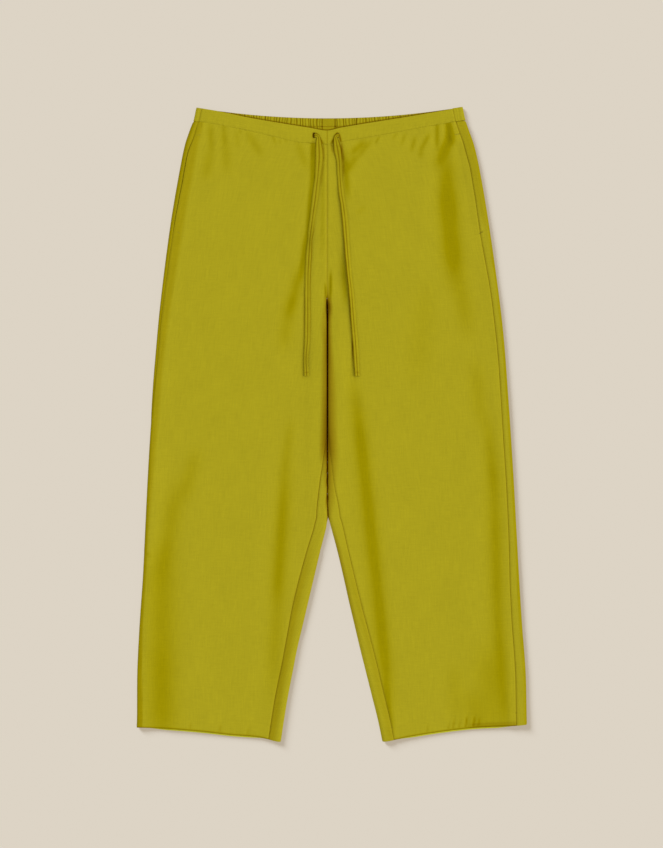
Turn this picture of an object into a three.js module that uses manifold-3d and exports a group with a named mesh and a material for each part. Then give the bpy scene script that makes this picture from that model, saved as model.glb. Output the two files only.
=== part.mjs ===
// Straight linen trousers laid flat on a surface, in millimetres. Left and right are as seen from above.
// While the pieces are made, X is measured from the centre seam, Y from the lowest point of the hem
// and Z from the surface. The finished group is centred on its own box.
import * as THREE from "three";
import { mergeVertices } from "three/addons/utils/BufferGeometryUtils.js";
import Module from "manifold-3d";

const wasm = await Module();
wasm.setup();

const seamGap = 0.3;
const wall = 1.1;
const hem = { wall: 1.8, depth: 20 };
const crotch = 667;

// Rows across the panels are level in the middle, follow the hem below one height and blend into
// the slope of the waist seam above another.
const waistRow = 900;
const rowBlend = { hemTo: 30, levelFrom: 160, levelTo: 740 };

// How the two layers lie: the front rests on the back, and both turn round a soft roll at each edge.
const lay = {
  rest: 3.4,
  roll: 3,
  edgeRise: 1.9,
  edgeSpread: 20,
  hemRise: 0.9,
  hemSpread: 70,
  waistRise: 1.5,
  waistSpread: 45,
  least: 2.8,
  most: 6.3,
};

const band = { height: 21, wall: 2.2, top: 5.2, crown: 0.35, roll: 3.6 };
const gather = { pitch: 4.9, rise: 0.7, under: 0.4, top: 2, patchLeft: -8, patchRight: 13 };
const backDip = { middle: 916.4, sides: 933.6, half: 205 }; // the shallow curve of the back's waist seam
const slot = { left: -18.3, right: 17.6, height: 911, length: 10, width: 2.8, depth: 1.5 };
const tie = { thick: 1.5, clear: 0.5, steps: 58 };
const pocket = { top: 911, bottom: 765, lift: 0.9, reach: 9 };

// The outline of the laid garment at each height.
const outerEdge = [
  { y: 18, left: -286.5, right: 300 },
  { y: 34, left: -285.5, right: 298.8 },
  { y: 106, left: -285, right: 297 },
  { y: 178, left: -281.5, right: 291.5 },
  { y: 250, left: -276.5, right: 287 },
  { y: 322, left: -273, right: 283 },
  { y: 394, left: -269.5, right: 279 },
  { y: 466, left: -265.5, right: 274.5 },
  { y: 538, left: -261, right: 269.5 },
  { y: 592, left: -256.5, right: 265.5 },
  { y: 646, left: -251.5, right: 260 },
  { y: 718, left: -243, right: 250.5 },
  { y: 790, left: -233, right: 240 },
  { y: 862, left: -220.5, right: 228 },
  { y: 898, left: -213, right: 220 },
  { y: 919, left: -206, right: 213 },
  { y: 933, left: -200.8, right: 208.3 },
  { y: 955, left: -196, right: 203.5 },
];
const innerEdge = [
  { y: 0, left: -69.5, right: 83.5 },
  { y: 34, left: -64.5, right: 76.5 },
  { y: 70, left: -58.5, right: 67.5 },
  { y: 106, left: -51.5, right: 58.5 },
  { y: 142, left: -44.5, right: 49.5 },
  { y: 178, left: -36, right: 41 },
  { y: 214, left: -27.5, right: 32.5 },
  { y: 250, left: -19, right: 24.5 },
  { y: 286, left: -10.5, right: 16 },
  { y: 322, left: -3, right: 7 },
  { y: 345, left: -0.8, right: 2.2 },
  { y: 380, left: -0.6, right: 0.8 },
  { y: 667, left: -0.6, right: 0.6 },
];

// How far round from the edge each seam lies, along the wall: above 0 on the front, below 0 underneath.
const sideSeam = [
  { y: 20, left: -1, right: 17 },
  { y: 120, left: -1, right: 14.5 },
  { y: 226, left: -1, right: 12.6 },
  { y: 309, left: -1, right: 10 },
  { y: 391, left: -1, right: 8.4 },
  { y: 473, left: 0, right: 8.2 },
  { y: 517, left: 3, right: 7.8 },
  { y: 568, left: 5, right: 7.6 },
  { y: 625, left: 5, right: 8.4 },
  { y: 688, left: 5.9, right: 9 },
  { y: 757, left: 6.9, right: 14 },
  { y: 832, left: 8.8, right: 13.4 },
  { y: 880, left: 8.6, right: 11.8 },
  { y: 906, left: 11.4, right: 11.2 },
  { y: 933, left: 9.6, right: 12.2 },
];
const inseam = [
  { y: 9, left: 19.5, right: 18.7 },
  { y: 73, left: 19.8, right: 19.4 },
  { y: 140, left: 19.6, right: 20.2 },
  { y: 210, left: 23, right: 18.8 },
  { y: 280, left: 21.4, right: 19.2 },
  { y: 345, left: 17.4, right: 20 },
  { y: 388, left: 12.4, right: 11 },
  { y: 425, left: 7, right: 6.5 },
  { y: 475, left: 2, right: 2 },
  { y: 560, left: 0, right: 0 },
  { y: 620, left: 1, right: 1 },
  { y: 667, left: 5, right: 5 },
];

// The hem, the waist seams and the upper edges of the waistband, by their place across.
const hemLine = [
  { x: -287, y: 23.2 },
  { x: -236, y: 21 },
  { x: -189, y: 17.2 },
  { x: -144, y: 12.2 },
  { x: -102, y: 8.6 },
  { x: -69, y: 1.5 },
  { x: 84, y: 1.8 },
  { x: 121, y: 9 },
  { x: 170, y: 16.8 },
  { x: 222, y: 22.8 },
  { x: 282, y: 25.6 },
  { x: 300, y: 27.5 },
];
const hemPeek = { deep: 1.8, clear: 12, full: 50 };
const frontWaist = [
  { x: -200, y: 932.5 },
  { x: -168, y: 928.5 },
  { x: -123, y: 919.5 },
  { x: -75, y: 908.5 },
  { x: -47, y: 902 },
  { x: -23, y: 900 },
  { x: 0, y: 897.8 },
  { x: 24, y: 902.4 },
  { x: 55, y: 907.6 },
  { x: 114, y: 918 },
  { x: 168, y: 928.2 },
  { x: 209, y: 933.5 },
];
const frontTop = [
  { x: -197, y: 953.4 },
  { x: -162, y: 948 },
  { x: -121, y: 940.6 },
  { x: -78, y: 932 },
  { x: -27, y: 923.4 },
  { x: 0, y: 918.8 },
  { x: 19, y: 922.8 },
  { x: 58, y: 930 },
  { x: 128, y: 942.2 },
  { x: 204, y: 954.6 },
];

// The largest folds of the front, each along a line. A rise below 0 is a trough.
const folds = [
  { x0: 182, y0: 932, x1: 186, y1: 898, width: 6.5, rise: -1.6 },
  { x0: 187, y0: 905, x1: 168, y1: 858, width: 8, rise: -1.7 },
  { x0: 178, y0: 870, x1: 187, y1: 685, width: 14, rise: -0.7 },
  { x0: 200, y0: 900, x1: 214, y1: 720, width: 14, rise: 1.1 },
  { x0: 152, y0: 925, x1: 138, y1: 760, width: 13, rise: 1 },
  { x0: 165, y0: 932, x1: 164, y1: 884, width: 5, rise: -1 },
  { x0: 154, y0: 915, x1: 141, y1: 884, width: 5, rise: -0.9 },
  { x0: 132, y0: 912, x1: 127, y1: 880, width: 5, rise: -0.8 },
  { x0: 30, y0: 903, x1: 56, y1: 852, width: 8, rise: -0.9 },
  { x0: -181, y0: 926, x1: -181, y1: 886, width: 5, rise: -0.9 },
  { x0: -158, y0: 922, x1: -148, y1: 864, width: 7, rise: -1 },
  { x0: -108, y0: 916, x1: -100, y1: 886, width: 5, rise: -0.8 },
  { x0: -41, y0: 706, x1: -60, y1: 616, width: 9, rise: -0.6 },
  { x0: 42, y0: 780, x1: 70, y1: 818, width: 6, rise: -0.6 },
  { x0: -168, y0: 900, x1: -176, y1: 640, width: 24, rise: 0.7 },
  { x0: -22, y0: 600, x1: -24, y1: 340, width: 10, rise: 1 },
  { x0: 24, y0: 655, x1: 26, y1: 480, width: 10, rise: 1 },
  { x0: -200, y0: 430, x1: -238, y1: 300, width: 15, rise: -0.6 },
  { x0: -240, y0: 320, x1: -238, y1: 40, width: 15, rise: -0.7 },
  { x0: -262, y0: 520, x1: -268, y1: 140, width: 9, rise: 0.6 },
  { x0: -204, y0: 330, x1: -200, y1: 40, width: 20, rise: 0.7 },
  { x0: -58, y0: 420, x1: -84, y1: 70, width: 12, rise: -0.7 },
  { x0: -96, y0: 480, x1: -118, y1: 60, width: 20, rise: 0.6 },
  { x0: 44, y0: 520, x1: 92, y1: 55, width: 13, rise: -0.7 },
  { x0: 76, y0: 520, x1: 124, y1: 60, width: 20, rise: 0.6 },
  { x0: 244, y0: 460, x1: 258, y1: 36, width: 13, rise: -0.7 },
  { x0: 212, y0: 480, x1: 222, y1: 40, width: 20, rise: 0.7 },
];

// The two free ends of the drawstring from the buttonholes down. Lift is counted from what lies
// below, roll turns the flat cord about its own line, in degrees, and wide is its width there.
const tieRoutes = {
  left: [
    { x: -18.75, y: 911, lift: -2.7, roll: 0, wide: 5.6 },
    { x: -18.7, y: 911, lift: -1.7, roll: 0, wide: 5.6 },
    { x: -18.35, y: 911, lift: -0.5, roll: 0, wide: 5.6 },
    { x: -17.2, y: 911, lift: 0, roll: 0, wide: 5.6 },
    { x: -14.9, y: 910.44, lift: 0.1, roll: 0, wide: 5.6 },
    { x: -13.3, y: 908.9, lift: 0.2, roll: 0, wide: 5.6 },
    { x: -12.7, y: 906.6, lift: 0.2, roll: 0, wide: 6 },
    { x: -12.4, y: 899.5, lift: 0.2, roll: 0, wide: 9.4 },
    { x: -11.6, y: 880, lift: 0, roll: 0, wide: 11.6 },
    { x: -13.9, y: 850, lift: 0, roll: 8, wide: 8.6 },
    { x: -17.3, y: 819, lift: 0, roll: 5, wide: 9.6 },
    { x: -21, y: 792, lift: 0, roll: 22, wide: 8.2 },
    { x: -23.3, y: 774, lift: 0, roll: 36, wide: 8.8 },
    { x: -25.4, y: 755, lift: 0, roll: 60, wide: 8.6 },
    { x: -26.8, y: 735, lift: 0, roll: 22, wide: 9 },
    { x: -28.3, y: 709, lift: 0, roll: 6, wide: 8.6 },
    { x: -28.9, y: 682, lift: 0, roll: 0, wide: 8.2 },
    { x: -28.9, y: 639, lift: 0, roll: 6, wide: 8.6 },
    { x: -29.6, y: 603, lift: 0, roll: 12, wide: 8.4 },
    { x: -31.4, y: 576, lift: 0, roll: 44, wide: 8.6 },
    { x: -30.6, y: 550.5, lift: 0, roll: 8, wide: 10.6 },
  ],
  right: [
    { x: 18.15, y: 911, lift: -2.7, roll: 0, wide: 5 },
    { x: 18.1, y: 911, lift: -1.7, roll: 0, wide: 5 },
    { x: 17.8, y: 911, lift: -0.5, roll: 0, wide: 5 },
    { x: 16.8, y: 911, lift: 0, roll: 0, wide: 5 },
    { x: 14.9, y: 910.49, lift: 0.1, roll: 0, wide: 5 },
    { x: 13.5, y: 909.1, lift: 0.2, roll: 0, wide: 5 },
    { x: 13, y: 907, lift: 0.2, roll: 0, wide: 5.6 },
    { x: 14.1, y: 899.5, lift: 0.2, roll: 4, wide: 9.8 },
    { x: 16.2, y: 888, lift: 0, roll: 10, wide: 11.2 },
    { x: 18.4, y: 873, lift: 0, roll: 26, wide: 9.2 },
    { x: 19, y: 855, lift: 0, roll: 16, wide: 8 },
    { x: 21.4, y: 826.5, lift: 0, roll: -12, wide: 8.2 },
    { x: 25, y: 802.5, lift: 0, roll: -18, wide: 8.8 },
    { x: 27.7, y: 778.5, lift: 0, roll: -14, wide: 9.4 },
    { x: 29.4, y: 754.5, lift: 0, roll: -24, wide: 9 },
    { x: 31.4, y: 727, lift: 0, roll: -50, wide: 8.8 },
    { x: 33.4, y: 703.5, lift: 0, roll: -60, wide: 8.6 },
    { x: 36.6, y: 675, lift: 0, roll: -38, wide: 8.4 },
    { x: 40, y: 631.5, lift: 0, roll: -20, wide: 8.4 },
    { x: 43.4, y: 590, lift: 0, roll: -18, wide: 8.4 },
    { x: 45.6, y: 550.5, lift: 0, roll: -30, wide: 8 },
  ],
};

const rowHeights = [
  0, 20, 22, 50, 85, 120, 160, 200, 240, 280, 315, 345, 375, 405, 430, 460, 500, 545, 590, 630, 656, crotch,
  690, 722, 755, 788, 816, 840, 860, 876, 889, waistRow,
];

const clamp = THREE.MathUtils.clamp;
const mix = THREE.MathUtils.lerp;
const ease = (from, to, at) => THREE.MathUtils.smoothstep((at - from) / (to - from), 0, 1);
const bell = (ratio) => Math.exp(-ratio * ratio);
const signOf = { left: -1, right: 1 };

// The value of one column of a table, on a smooth curve through its rows.
function read(table, key, column, at) {
  const last = table.length - 1;
  let i = 0;
  while (i < last - 1 && at > table[i + 1][key]) i++;
  const slope = (j) => {
    const a = table[Math.max(j - 1, 0)];
    const b = table[Math.min(j + 1, last)];
    return (b[column] - a[column]) / (b[key] - a[key]);
  };
  const span = table[i + 1][key] - table[i][key];
  const t = clamp((at - table[i][key]) / span, 0, 1);
  const rest = 1 - t;
  const level = table[i][column] * (1 + 2 * t) * rest * rest + table[i + 1][column] * (3 - 2 * t) * t * t;
  return level + span * t * rest * (slope(i) * rest - slope(i + 1) * t);
}

const hemAt = (x) => read(hemLine, "x", "y", x);
const frontWaistAt = (x) => read(frontWaist, "x", "y", x);
const frontTopAt = (x) => read(frontTop, "x", "y", x);
const backWaistAt = (x) => backDip.middle + (backDip.sides - backDip.middle) * (x / backDip.half) ** 2;
const outerAt = (side, y) => read(outerEdge, "y", side, y);
const innerAt = (side, y) => read(innerEdge, "y", side, y);

// The height along the garment of a point on a nominal row, which follows the hem at the foot and
// the given waist seam at the top.
function rowY(row, x, waistAt, peek = 0) {
  const foot = clamp((rowBlend.levelFrom - row) / (rowBlend.levelFrom - rowBlend.hemTo), 0, 1);
  const head = clamp((row - rowBlend.levelTo) / (waistRow - rowBlend.levelTo), 0, 1);
  return row + (hemAt(x) - peek) * foot + (waistAt(x) - waistRow) * head;
}

function foldRise(fold, x, y) {
  const [dx, dy] = [fold.x1 - fold.x0, fold.y1 - fold.y0];
  const length = Math.hypot(dx, dy);
  const along = ((x - fold.x0) * dx + (y - fold.y0) * dy) / length;
  const across = ((x - fold.x0) * dy - (y - fold.y0) * dx) / length;
  const fade = Math.min(0.3 * length, 40);
  const ends = ease(-fade / 2, fade, along) * ease(-fade / 2, fade, length - along);
  return fold.rise * bell(across / fold.width) * ends;
}

// Height of the upper face of the front layer above the surface.
function topAt(x, y) {
  const side = x < 0 ? "left" : "right";
  const fromEdge = Math.abs(outerAt(side, y) - x);
  let height = lay.rest + lay.edgeRise * bell(fromEdge / lay.edgeSpread);
  if (y < crotch) {
    const fromInner = Math.abs(x - innerAt(side, y));
    height += lay.edgeRise * bell(fromInner / lay.edgeSpread) * ease(0, 90, crotch - y);
  }
  const aboveHem = y - hemAt(x);
  height += lay.hemRise * ease(lay.hemSpread, 0, aboveHem);
  height += lay.waistRise * ease(lay.waistSpread, 0, frontWaistAt(x) - y);
  for (const fold of folds) height += foldRise(fold, x, y);
  const least = aboveHem < hem.depth + 6 ? 2 * hem.wall + 0.7 : lay.least;
  return clamp(height, least, lay.most);
}

// A point of the wall, by its distance along the section from the outermost point of an edge.
// Inward is the way along X into the garment. Above 0 it lies on the front, below 0 underneath.
function edgePoint(edgeX, inward, along, y, thick, roll = lay.roll, top = topAt(edgeX + inward * roll, y)) {
  const half = top / 2;
  const quarter = (Math.PI / 4) * (roll + half);
  if (along >= quarter) {
    const x = edgeX + inward * (roll + along - quarter);
    return { x, z: topAt(x, y), thick };
  }
  if (along <= -quarter) return { x: edgeX + inward * (roll - along - quarter), z: 0, thick: -thick };
  const turn = ((along / quarter) * Math.PI) / 2;
  const point = (a, b) => ({ x: edgeX + inward * (roll - a * Math.cos(turn)), z: half + b * Math.sin(turn) });
  const inner = point(roll - thick, half - thick);
  return { ...point(roll, half), inX: inner.x, inZ: inner.z };
}

// Outer and inner place of one point of a wall.
function wallPoint(point, y) {
  const outer = new THREE.Vector3(point.x, y, point.z);
  if (point.inX === undefined) return { outer, inner: new THREE.Vector3(point.x, y, point.z - point.thick) };
  return { outer, inner: new THREE.Vector3(point.inX, y, point.inZ) };
}

// A closed wall from rows of outer and inner points.
function wallGeometry(rows) {
  const [high, wide] = [rows.length, rows[0].length];
  const positions = [];
  for (const key of ["outer", "inner"]) {
    for (const row of rows) for (const point of row) positions.push(...point[key].toArray());
  }
  const outer = (r, c) => r * wide + c;
  const inner = (r, c) => high * wide + r * wide + c;
  const index = [];
  const quad = (a, b, c, d) => index.push(a, b, c, a, c, d);
  for (let r = 0; r < high - 1; r++) {
    for (let c = 0; c < wide - 1; c++) {
      quad(outer(r, c), outer(r, c + 1), outer(r + 1, c + 1), outer(r + 1, c));
      quad(inner(r, c), inner(r + 1, c), inner(r + 1, c + 1), inner(r, c + 1));
    }
    quad(outer(r, 0), outer(r + 1, 0), inner(r + 1, 0), inner(r, 0));
    quad(outer(r, wide - 1), inner(r, wide - 1), inner(r + 1, wide - 1), outer(r + 1, wide - 1));
  }
  for (let c = 0; c < wide - 1; c++) {
    quad(outer(0, c + 1), outer(0, c), inner(0, c), inner(0, c + 1));
    quad(outer(high - 1, c), outer(high - 1, c + 1), inner(high - 1, c + 1), inner(high - 1, c));
  }
  return new THREE.BufferGeometry()
    .setAttribute("position", new THREE.Float32BufferAttribute(positions, 3))
    .setIndex(index);
}

// Where a row meets the outline, since the height of the row depends on the place across.
function edgeOnRow(edgeAt, side, row, waistAt) {
  let x = edgeAt(side, row);
  for (let i = 0; i < 4; i++) x = edgeAt(side, rowY(row, x, waistAt));
  return x;
}

const wallOnRow = (row) => (row <= hem.depth ? hem.wall : wall);

// A front panel reaches from its side seam, over the edge where the seam lies underneath, to the
// centre seam or the inseam.
const frontStops = { under: -1, reach: 24, at: [-1, 0.8, 2.6, 4.6, 10, 24], middle: 10 };

function frontPanel(side) {
  const sign = signOf[side];
  const stopsFrom = (seam) =>
    frontStops.at.map((stop) => {
      const share = (frontStops.reach - stop) / (frontStops.reach - frontStops.under);
      return frontStops.reach - share * (frontStops.reach - seam);
    });
  const rows = rowHeights.map((row) => {
    const thick = wallOnRow(row);
    const edgeX = edgeOnRow(outerAt, side, row, frontWaistAt);
    const edgeY = rowY(row, edgeX, frontWaistAt);
    const seam = read(sideSeam, "y", side, edgeY) + seamGap / 2;
    const open = ease(-12, 25, edgeY - pocket.bottom) * ease(-12, 25, pocket.top - edgeY);
    const outerPart = stopsFrom(seam).map((along) => {
      const point = edgePoint(edgeX, -sign, along, edgeY, thick);
      const lift = pocket.lift * open * bell((along - seam) / pocket.reach);
      return point.inX === undefined && point.z > 0 ? { ...point, z: point.z + lift } : point;
    });
    let innerPart;
    if (row < crotch) {
      const innerX = edgeOnRow(innerAt, side, row, frontWaistAt);
      const innerY = rowY(row, innerX, frontWaistAt);
      const legSeam = read(inseam, "y", side, innerY) + seamGap / 2;
      innerPart = stopsFrom(legSeam).map((along) => edgePoint(innerX, sign, along, innerY, thick));
    } else {
      innerPart = stopsFrom(0).map((along) => {
        const x = sign * (seamGap / 2 + along);
        return { x, z: topAt(x, rowY(row, x, frontWaistAt)), thick };
      });
    }
    const [from, to] = [outerPart.at(-1).x, innerPart.at(-1).x];
    const middle = [];
    for (let i = 1; i < frontStops.middle; i++) {
      const x = mix(from, to, i / frontStops.middle);
      middle.push({ x, z: topAt(x, rowY(row, x, frontWaistAt)), thick });
    }
    const points = [...outerPart, ...middle, ...innerPart.reverse()];
    if (side === "right") points.reverse();
    return points.map((point) => wallPoint(point, rowY(row, point.x, frontWaistAt)));
  });
  return wallGeometry(rows);
}

// A back panel lies underneath and turns up round both edges of the leg to its seams on the front.
const backStops = { inside: -14, at: [-14, -4.6, -2.3, 0, 2.3, 4.6, 5.6], middle: 4 };

function backPanel(side) {
  const sign = signOf[side];
  const outermost = backStops.at.at(-1);
  const stopsTo = (seam) =>
    backStops.at.map((stop) => {
      if (seam >= outermost) return stop === outermost ? seam : stop;
      return mix(backStops.inside, seam, (stop - backStops.inside) / (outermost - backStops.inside));
    });
  const rows = rowHeights.map((row) => {
    const thick = wallOnRow(row);
    const edgeX = edgeOnRow(outerAt, side, row, frontWaistAt);
    const edgeY = rowY(row, edgeX, frontWaistAt);
    const seam = read(sideSeam, "y", side, edgeY) - seamGap / 2;
    const outerPart = stopsTo(seam).map((along) => edgePoint(edgeX, -sign, along, edgeY, thick));
    let innerPart;
    let innerX = sign * (seamGap / 2);
    if (row < crotch) {
      innerX = edgeOnRow(innerAt, side, row, frontWaistAt);
      const innerY = rowY(row, innerX, frontWaistAt);
      const legSeam = read(inseam, "y", side, innerY) - seamGap / 2;
      innerPart = stopsTo(legSeam).map((along) => edgePoint(innerX, sign, along, innerY, thick));
    } else {
      const steps = backStops.at.length - 1;
      innerPart = backStops.at.map((stop, i) => ({
        x: innerX - sign * backStops.inside * (1 - i / steps),
        z: 0,
        thick: -thick,
      }));
    }
    const [from, to] = [outerPart[0].x, innerPart[0].x];
    const middle = [];
    for (let i = 1; i < backStops.middle; i++) {
      middle.push({ x: mix(from, to, i / backStops.middle), z: 0, thick: -thick });
    }
    const points = [...outerPart.reverse(), ...middle, ...innerPart];
    if (side === "left") points.reverse();
    return points.map((point) => {
      if (point.z > 0) return wallPoint(point, rowY(row, point.x, frontWaistAt));
      const inside = Math.min(Math.abs(point.x - edgeX), Math.abs(point.x - innerX));
      const peek = hemPeek.deep * ease(hemPeek.clear, hemPeek.full, inside);
      return wallPoint(point, rowY(row, point.x, backWaistAt, peek));
    });
  });
  return wallGeometry(rows);
}

// The back waistband's own line at a share of its height: its edges, its strips on the front as far
// as the side seams, and its whole length round them.
function bandRound(share) {
  const height = backDip.sides + share * band.height;
  const edge = { left: outerAt("left", height), right: outerAt("right", height) };
  const strip = {};
  for (const side of ["left", "right"]) strip[side] = read(sideSeam, "y", side, backDip.sides);
  const quarter = (Math.PI / 4) * (band.roll + band.top / 2);
  const total = strip.left + strip.right + 2 * quarter + edge.right - edge.left - 2 * band.roll;
  const seam = (side) => edge[side] - signOf[side] * (band.roll + strip[side] - quarter);
  return { edge, strip, total, toMiddle: strip.left + quarter - band.roll - edge.left, seam };
}

function solidOf(geometry) {
  const bare = new THREE.BufferGeometry().setAttribute("position", geometry.getAttribute("position"));
  if (geometry.index) bare.setIndex(geometry.index);
  const merged = mergeVertices(bare, 1e-3);
  return new wasm.Manifold(
    new wasm.Mesh({
      numProp: 3,
      vertProperties: merged.attributes.position.array,
      triVerts: new Uint32Array(merged.index.array),
    }),
  );
}

function geometryOf(solid) {
  const { vertProperties, triVerts } = solid.getMesh();
  return new THREE.BufferGeometry()
    .setAttribute("position", new THREE.BufferAttribute(vertProperties, 3))
    .setIndex(new THREE.BufferAttribute(triVerts, 1));
}

// The upright buttonhole, sunk into the outer layer of the waistband only.
function buttonhole(side) {
  const outline = new THREE.Shape();
  const [half, end] = [slot.width / 2, (slot.length - slot.width) / 2];
  outline.absarc(0, end, half, 0, Math.PI);
  outline.absarc(0, -end, half, Math.PI, 2 * Math.PI);
  const settings = { depth: 2 * slot.depth, bevelEnabled: false, curveSegments: 5 };
  const cut = new THREE.ExtrudeGeometry(outline, settings);
  return cut.translate(slot[side], slot.height, band.top - slot.depth);
}

function frontBand(side) {
  const sign = signOf[side];
  const columns = 22;
  const shares = [0, 0.12, 0.5, 0.88, 1];
  const rows = shares.map((share) => {
    const from = bandRound(share).seam(side) - sign * seamGap;
    const z = band.top + band.crown * Math.sin(Math.PI * share);
    const points = [];
    for (let i = 0; i <= columns; i++) {
      const x = mix(from, (sign * seamGap) / 2, i / columns);
      const y = mix(frontWaistAt(x) + seamGap, frontTopAt(x), share);
      points.push(wallPoint({ x, z, thick: band.wall }, y));
    }
    return side === "left" ? points : points.reverse();
  });
  return geometryOf(solidOf(wallGeometry(rows)).subtract(solidOf(buttonhole(side))));
}

// The gathered back waistband: stations along it from the left side seam round underneath to the
// right one, each on the crest or in the trough of a gather, but for a plain patch at the middle.
function gatherStations(total, patchFrom, patchTo) {
  const stations = [{ share: 0, swell: 0.5 }];
  let at = 0;
  for (let i = 0; at < total - gather.pitch; i++) {
    const uneven = 1 + 0.22 * Math.sin(1.7 * i) + 0.14 * Math.sin(3.1 * i + 1);
    at += (gather.pitch / 2) * uneven;
    const swell = i % 2 ? 0.1 + 0.1 * Math.sin(2.3 * i) : 0.82 + 0.18 * Math.sin(1.9 * i);
    if (at < patchFrom || at > patchTo) stations.push({ share: at / total, swell });
  }
  return [...stations, { share: 1, swell: 0.5 }];
}

function backBand() {
  const foot = bandRound(0);
  const stations = gatherStations(
    foot.total,
    foot.toMiddle + gather.patchLeft,
    foot.toMiddle + gather.patchRight,
  );
  const rows = [0, 1].map((height) => {
    const { edge, strip, total } = bandRound(height);
    const row = stations.map(({ share, swell }) => {
      const side = share < 0.5 ? "left" : "right";
      const along = side === "left" ? strip.left - share * total : strip.right - (1 - share) * total;
      const point = edgePoint(edge[side], -signOf[side], along, 0, band.wall, band.roll, band.top);
      const y = backWaistAt(point.x) + seamGap + height * (band.height - seamGap);
      if (point.inX !== undefined) return wallPoint(point, y);
      if (point.z > 0) {
        const sunk = (1 - swell) * gather.rise;
        return wallPoint({ ...point, z: band.top - sunk, thick: band.wall - sunk }, y);
      }
      const low = (1 - swell) * gather.under;
      return wallPoint({ ...point, z: low, thick: low - gather.top - swell * gather.rise }, y);
    });
    return row.reverse();
  });
  return wallGeometry(rows);
}

// What a tie lies on at a point: the waistband or the front panel below it.
function groundAt(x, y) {
  const onBand = y > frontWaistAt(x) - 4;
  return onBand ? Math.max(band.top + band.crown, topAt(x, y)) : topAt(x, y);
}

function tieGeometry(side) {
  const route = tieRoutes[side];
  const places = route.map(({ x, y }) => new THREE.Vector3(x, y, 0));
  const curve = new THREE.CatmullRomCurve3(places, false, "centripetal");
  const swing = new THREE.CatmullRomCurve3(route.map((at) => new THREE.Vector3(at.lift, at.roll, at.wide)));
  const thick = tie.thick / 2;
  const stations = [];
  for (let i = 0; i <= tie.steps; i++) {
    const share = i / tie.steps;
    const place = curve.getPoint(share);
    const ahead = curve.getPoint(Math.min(share + 0.004, 1)).sub(curve.getPoint(Math.max(share - 0.004, 0)));
    ahead.normalize();
    const { x: lift, y: roll, z: width } = swing.getPoint(share);
    const wide = width / 2;
    const angle = THREE.MathUtils.degToRad(roll);
    const level = new THREE.Vector3(-ahead.y, ahead.x, 0);
    let ground = 0;
    for (let k = -2; k <= 2; k++) {
      const spot = place.clone().addScaledVector(level, (k / 2) * wide * Math.cos(angle));
      ground = Math.max(ground, groundAt(spot.x, spot.y));
    }
    place.z = ground + tie.clear + lift + thick * Math.cos(angle) + wide * Math.abs(Math.sin(angle));
    stations.push({ place, level, angle, wide });
  }
  const rings = stations.map(({ place, level, angle, wide }, i) => {
    const next = stations[Math.min(i + 1, tie.steps)].place;
    const before = stations[Math.max(i - 1, 0)].place;
    const upward = next.clone().sub(before).normalize().cross(level).normalize();
    const across = level.clone().multiplyScalar(Math.cos(angle)).addScaledVector(upward, Math.sin(angle));
    const normal = level.clone().multiplyScalar(-Math.sin(angle)).addScaledVector(upward, Math.cos(angle));
    const section = [
      [wide, -thick / 2],
      [wide, thick / 2],
      [wide - thick, thick],
      [thick - wide, thick],
      [-wide, thick / 2],
      [-wide, -thick / 2],
      [thick - wide, -thick],
      [wide - thick, -thick],
    ];
    return section.map(([a, b]) => place.clone().addScaledVector(across, a).addScaledVector(normal, b));
  });
  return loft(rings);
}

function loft(rings) {
  const sides = rings[0].length;
  const positions = rings.flat().flatMap((point) => point.toArray());
  const index = [];
  for (let r = 0; r < rings.length - 1; r++) {
    for (let s = 0; s < sides; s++) {
      const [a, b] = [r * sides + s, r * sides + ((s + 1) % sides)];
      index.push(a, b, b + sides, a, b + sides, a + sides);
    }
  }
  const last = (rings.length - 1) * sides;
  for (let s = 1; s < sides - 1; s++) {
    index.push(0, s + 1, s);
    index.push(last, last + s, last + s + 1);
  }
  return new THREE.BufferGeometry()
    .setAttribute("position", new THREE.Float32BufferAttribute(positions, 3))
    .setIndex(index);
}

function piece(name, geometry, colour) {
  const material = new THREE.MeshStandardMaterial({ color: colour, roughness: 0.85, metalness: 0 });
  const mesh = new THREE.Mesh(geometry, material);
  mesh.name = name;
  return mesh;
}

const clothColour = 0xaa9e1e;
const tieColour = 0xa89a1c;

const garment = new THREE.Group();
for (const side of ["left", "right"]) {
  garment.add(piece(`front_${side}`, frontPanel(side), clothColour));
  garment.add(piece(`back_${side}`, backPanel(side), clothColour));
  garment.add(piece(`front_waistband_${side}`, frontBand(side), clothColour));
}
garment.add(piece("back_waistband", backBand(), clothColour));

const box = new THREE.Box3().setFromObject(garment);
const centre = box.getCenter(new THREE.Vector3());
for (const side of ["left", "right"]) garment.add(piece(`tie_${side}`, tieGeometry(side), tieColour));
garment.position.set(-centre.x, -centre.y, -box.min.z);

export default garment;
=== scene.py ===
import bpy
import math
from types import SimpleNamespace
import numpy as np
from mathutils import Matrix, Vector


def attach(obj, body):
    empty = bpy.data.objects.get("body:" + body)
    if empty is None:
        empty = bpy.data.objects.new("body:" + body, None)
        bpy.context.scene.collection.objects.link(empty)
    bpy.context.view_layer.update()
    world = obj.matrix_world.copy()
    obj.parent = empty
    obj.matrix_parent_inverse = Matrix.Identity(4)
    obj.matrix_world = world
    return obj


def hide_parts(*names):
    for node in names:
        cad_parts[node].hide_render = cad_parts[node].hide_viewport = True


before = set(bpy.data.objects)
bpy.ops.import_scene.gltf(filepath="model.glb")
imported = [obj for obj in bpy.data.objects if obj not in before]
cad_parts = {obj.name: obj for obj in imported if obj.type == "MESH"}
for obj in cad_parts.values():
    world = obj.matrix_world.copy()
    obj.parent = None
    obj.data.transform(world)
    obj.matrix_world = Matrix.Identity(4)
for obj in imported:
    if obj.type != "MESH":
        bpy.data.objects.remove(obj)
bpy.ops.object.select_all(action="DESELECT")
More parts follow.
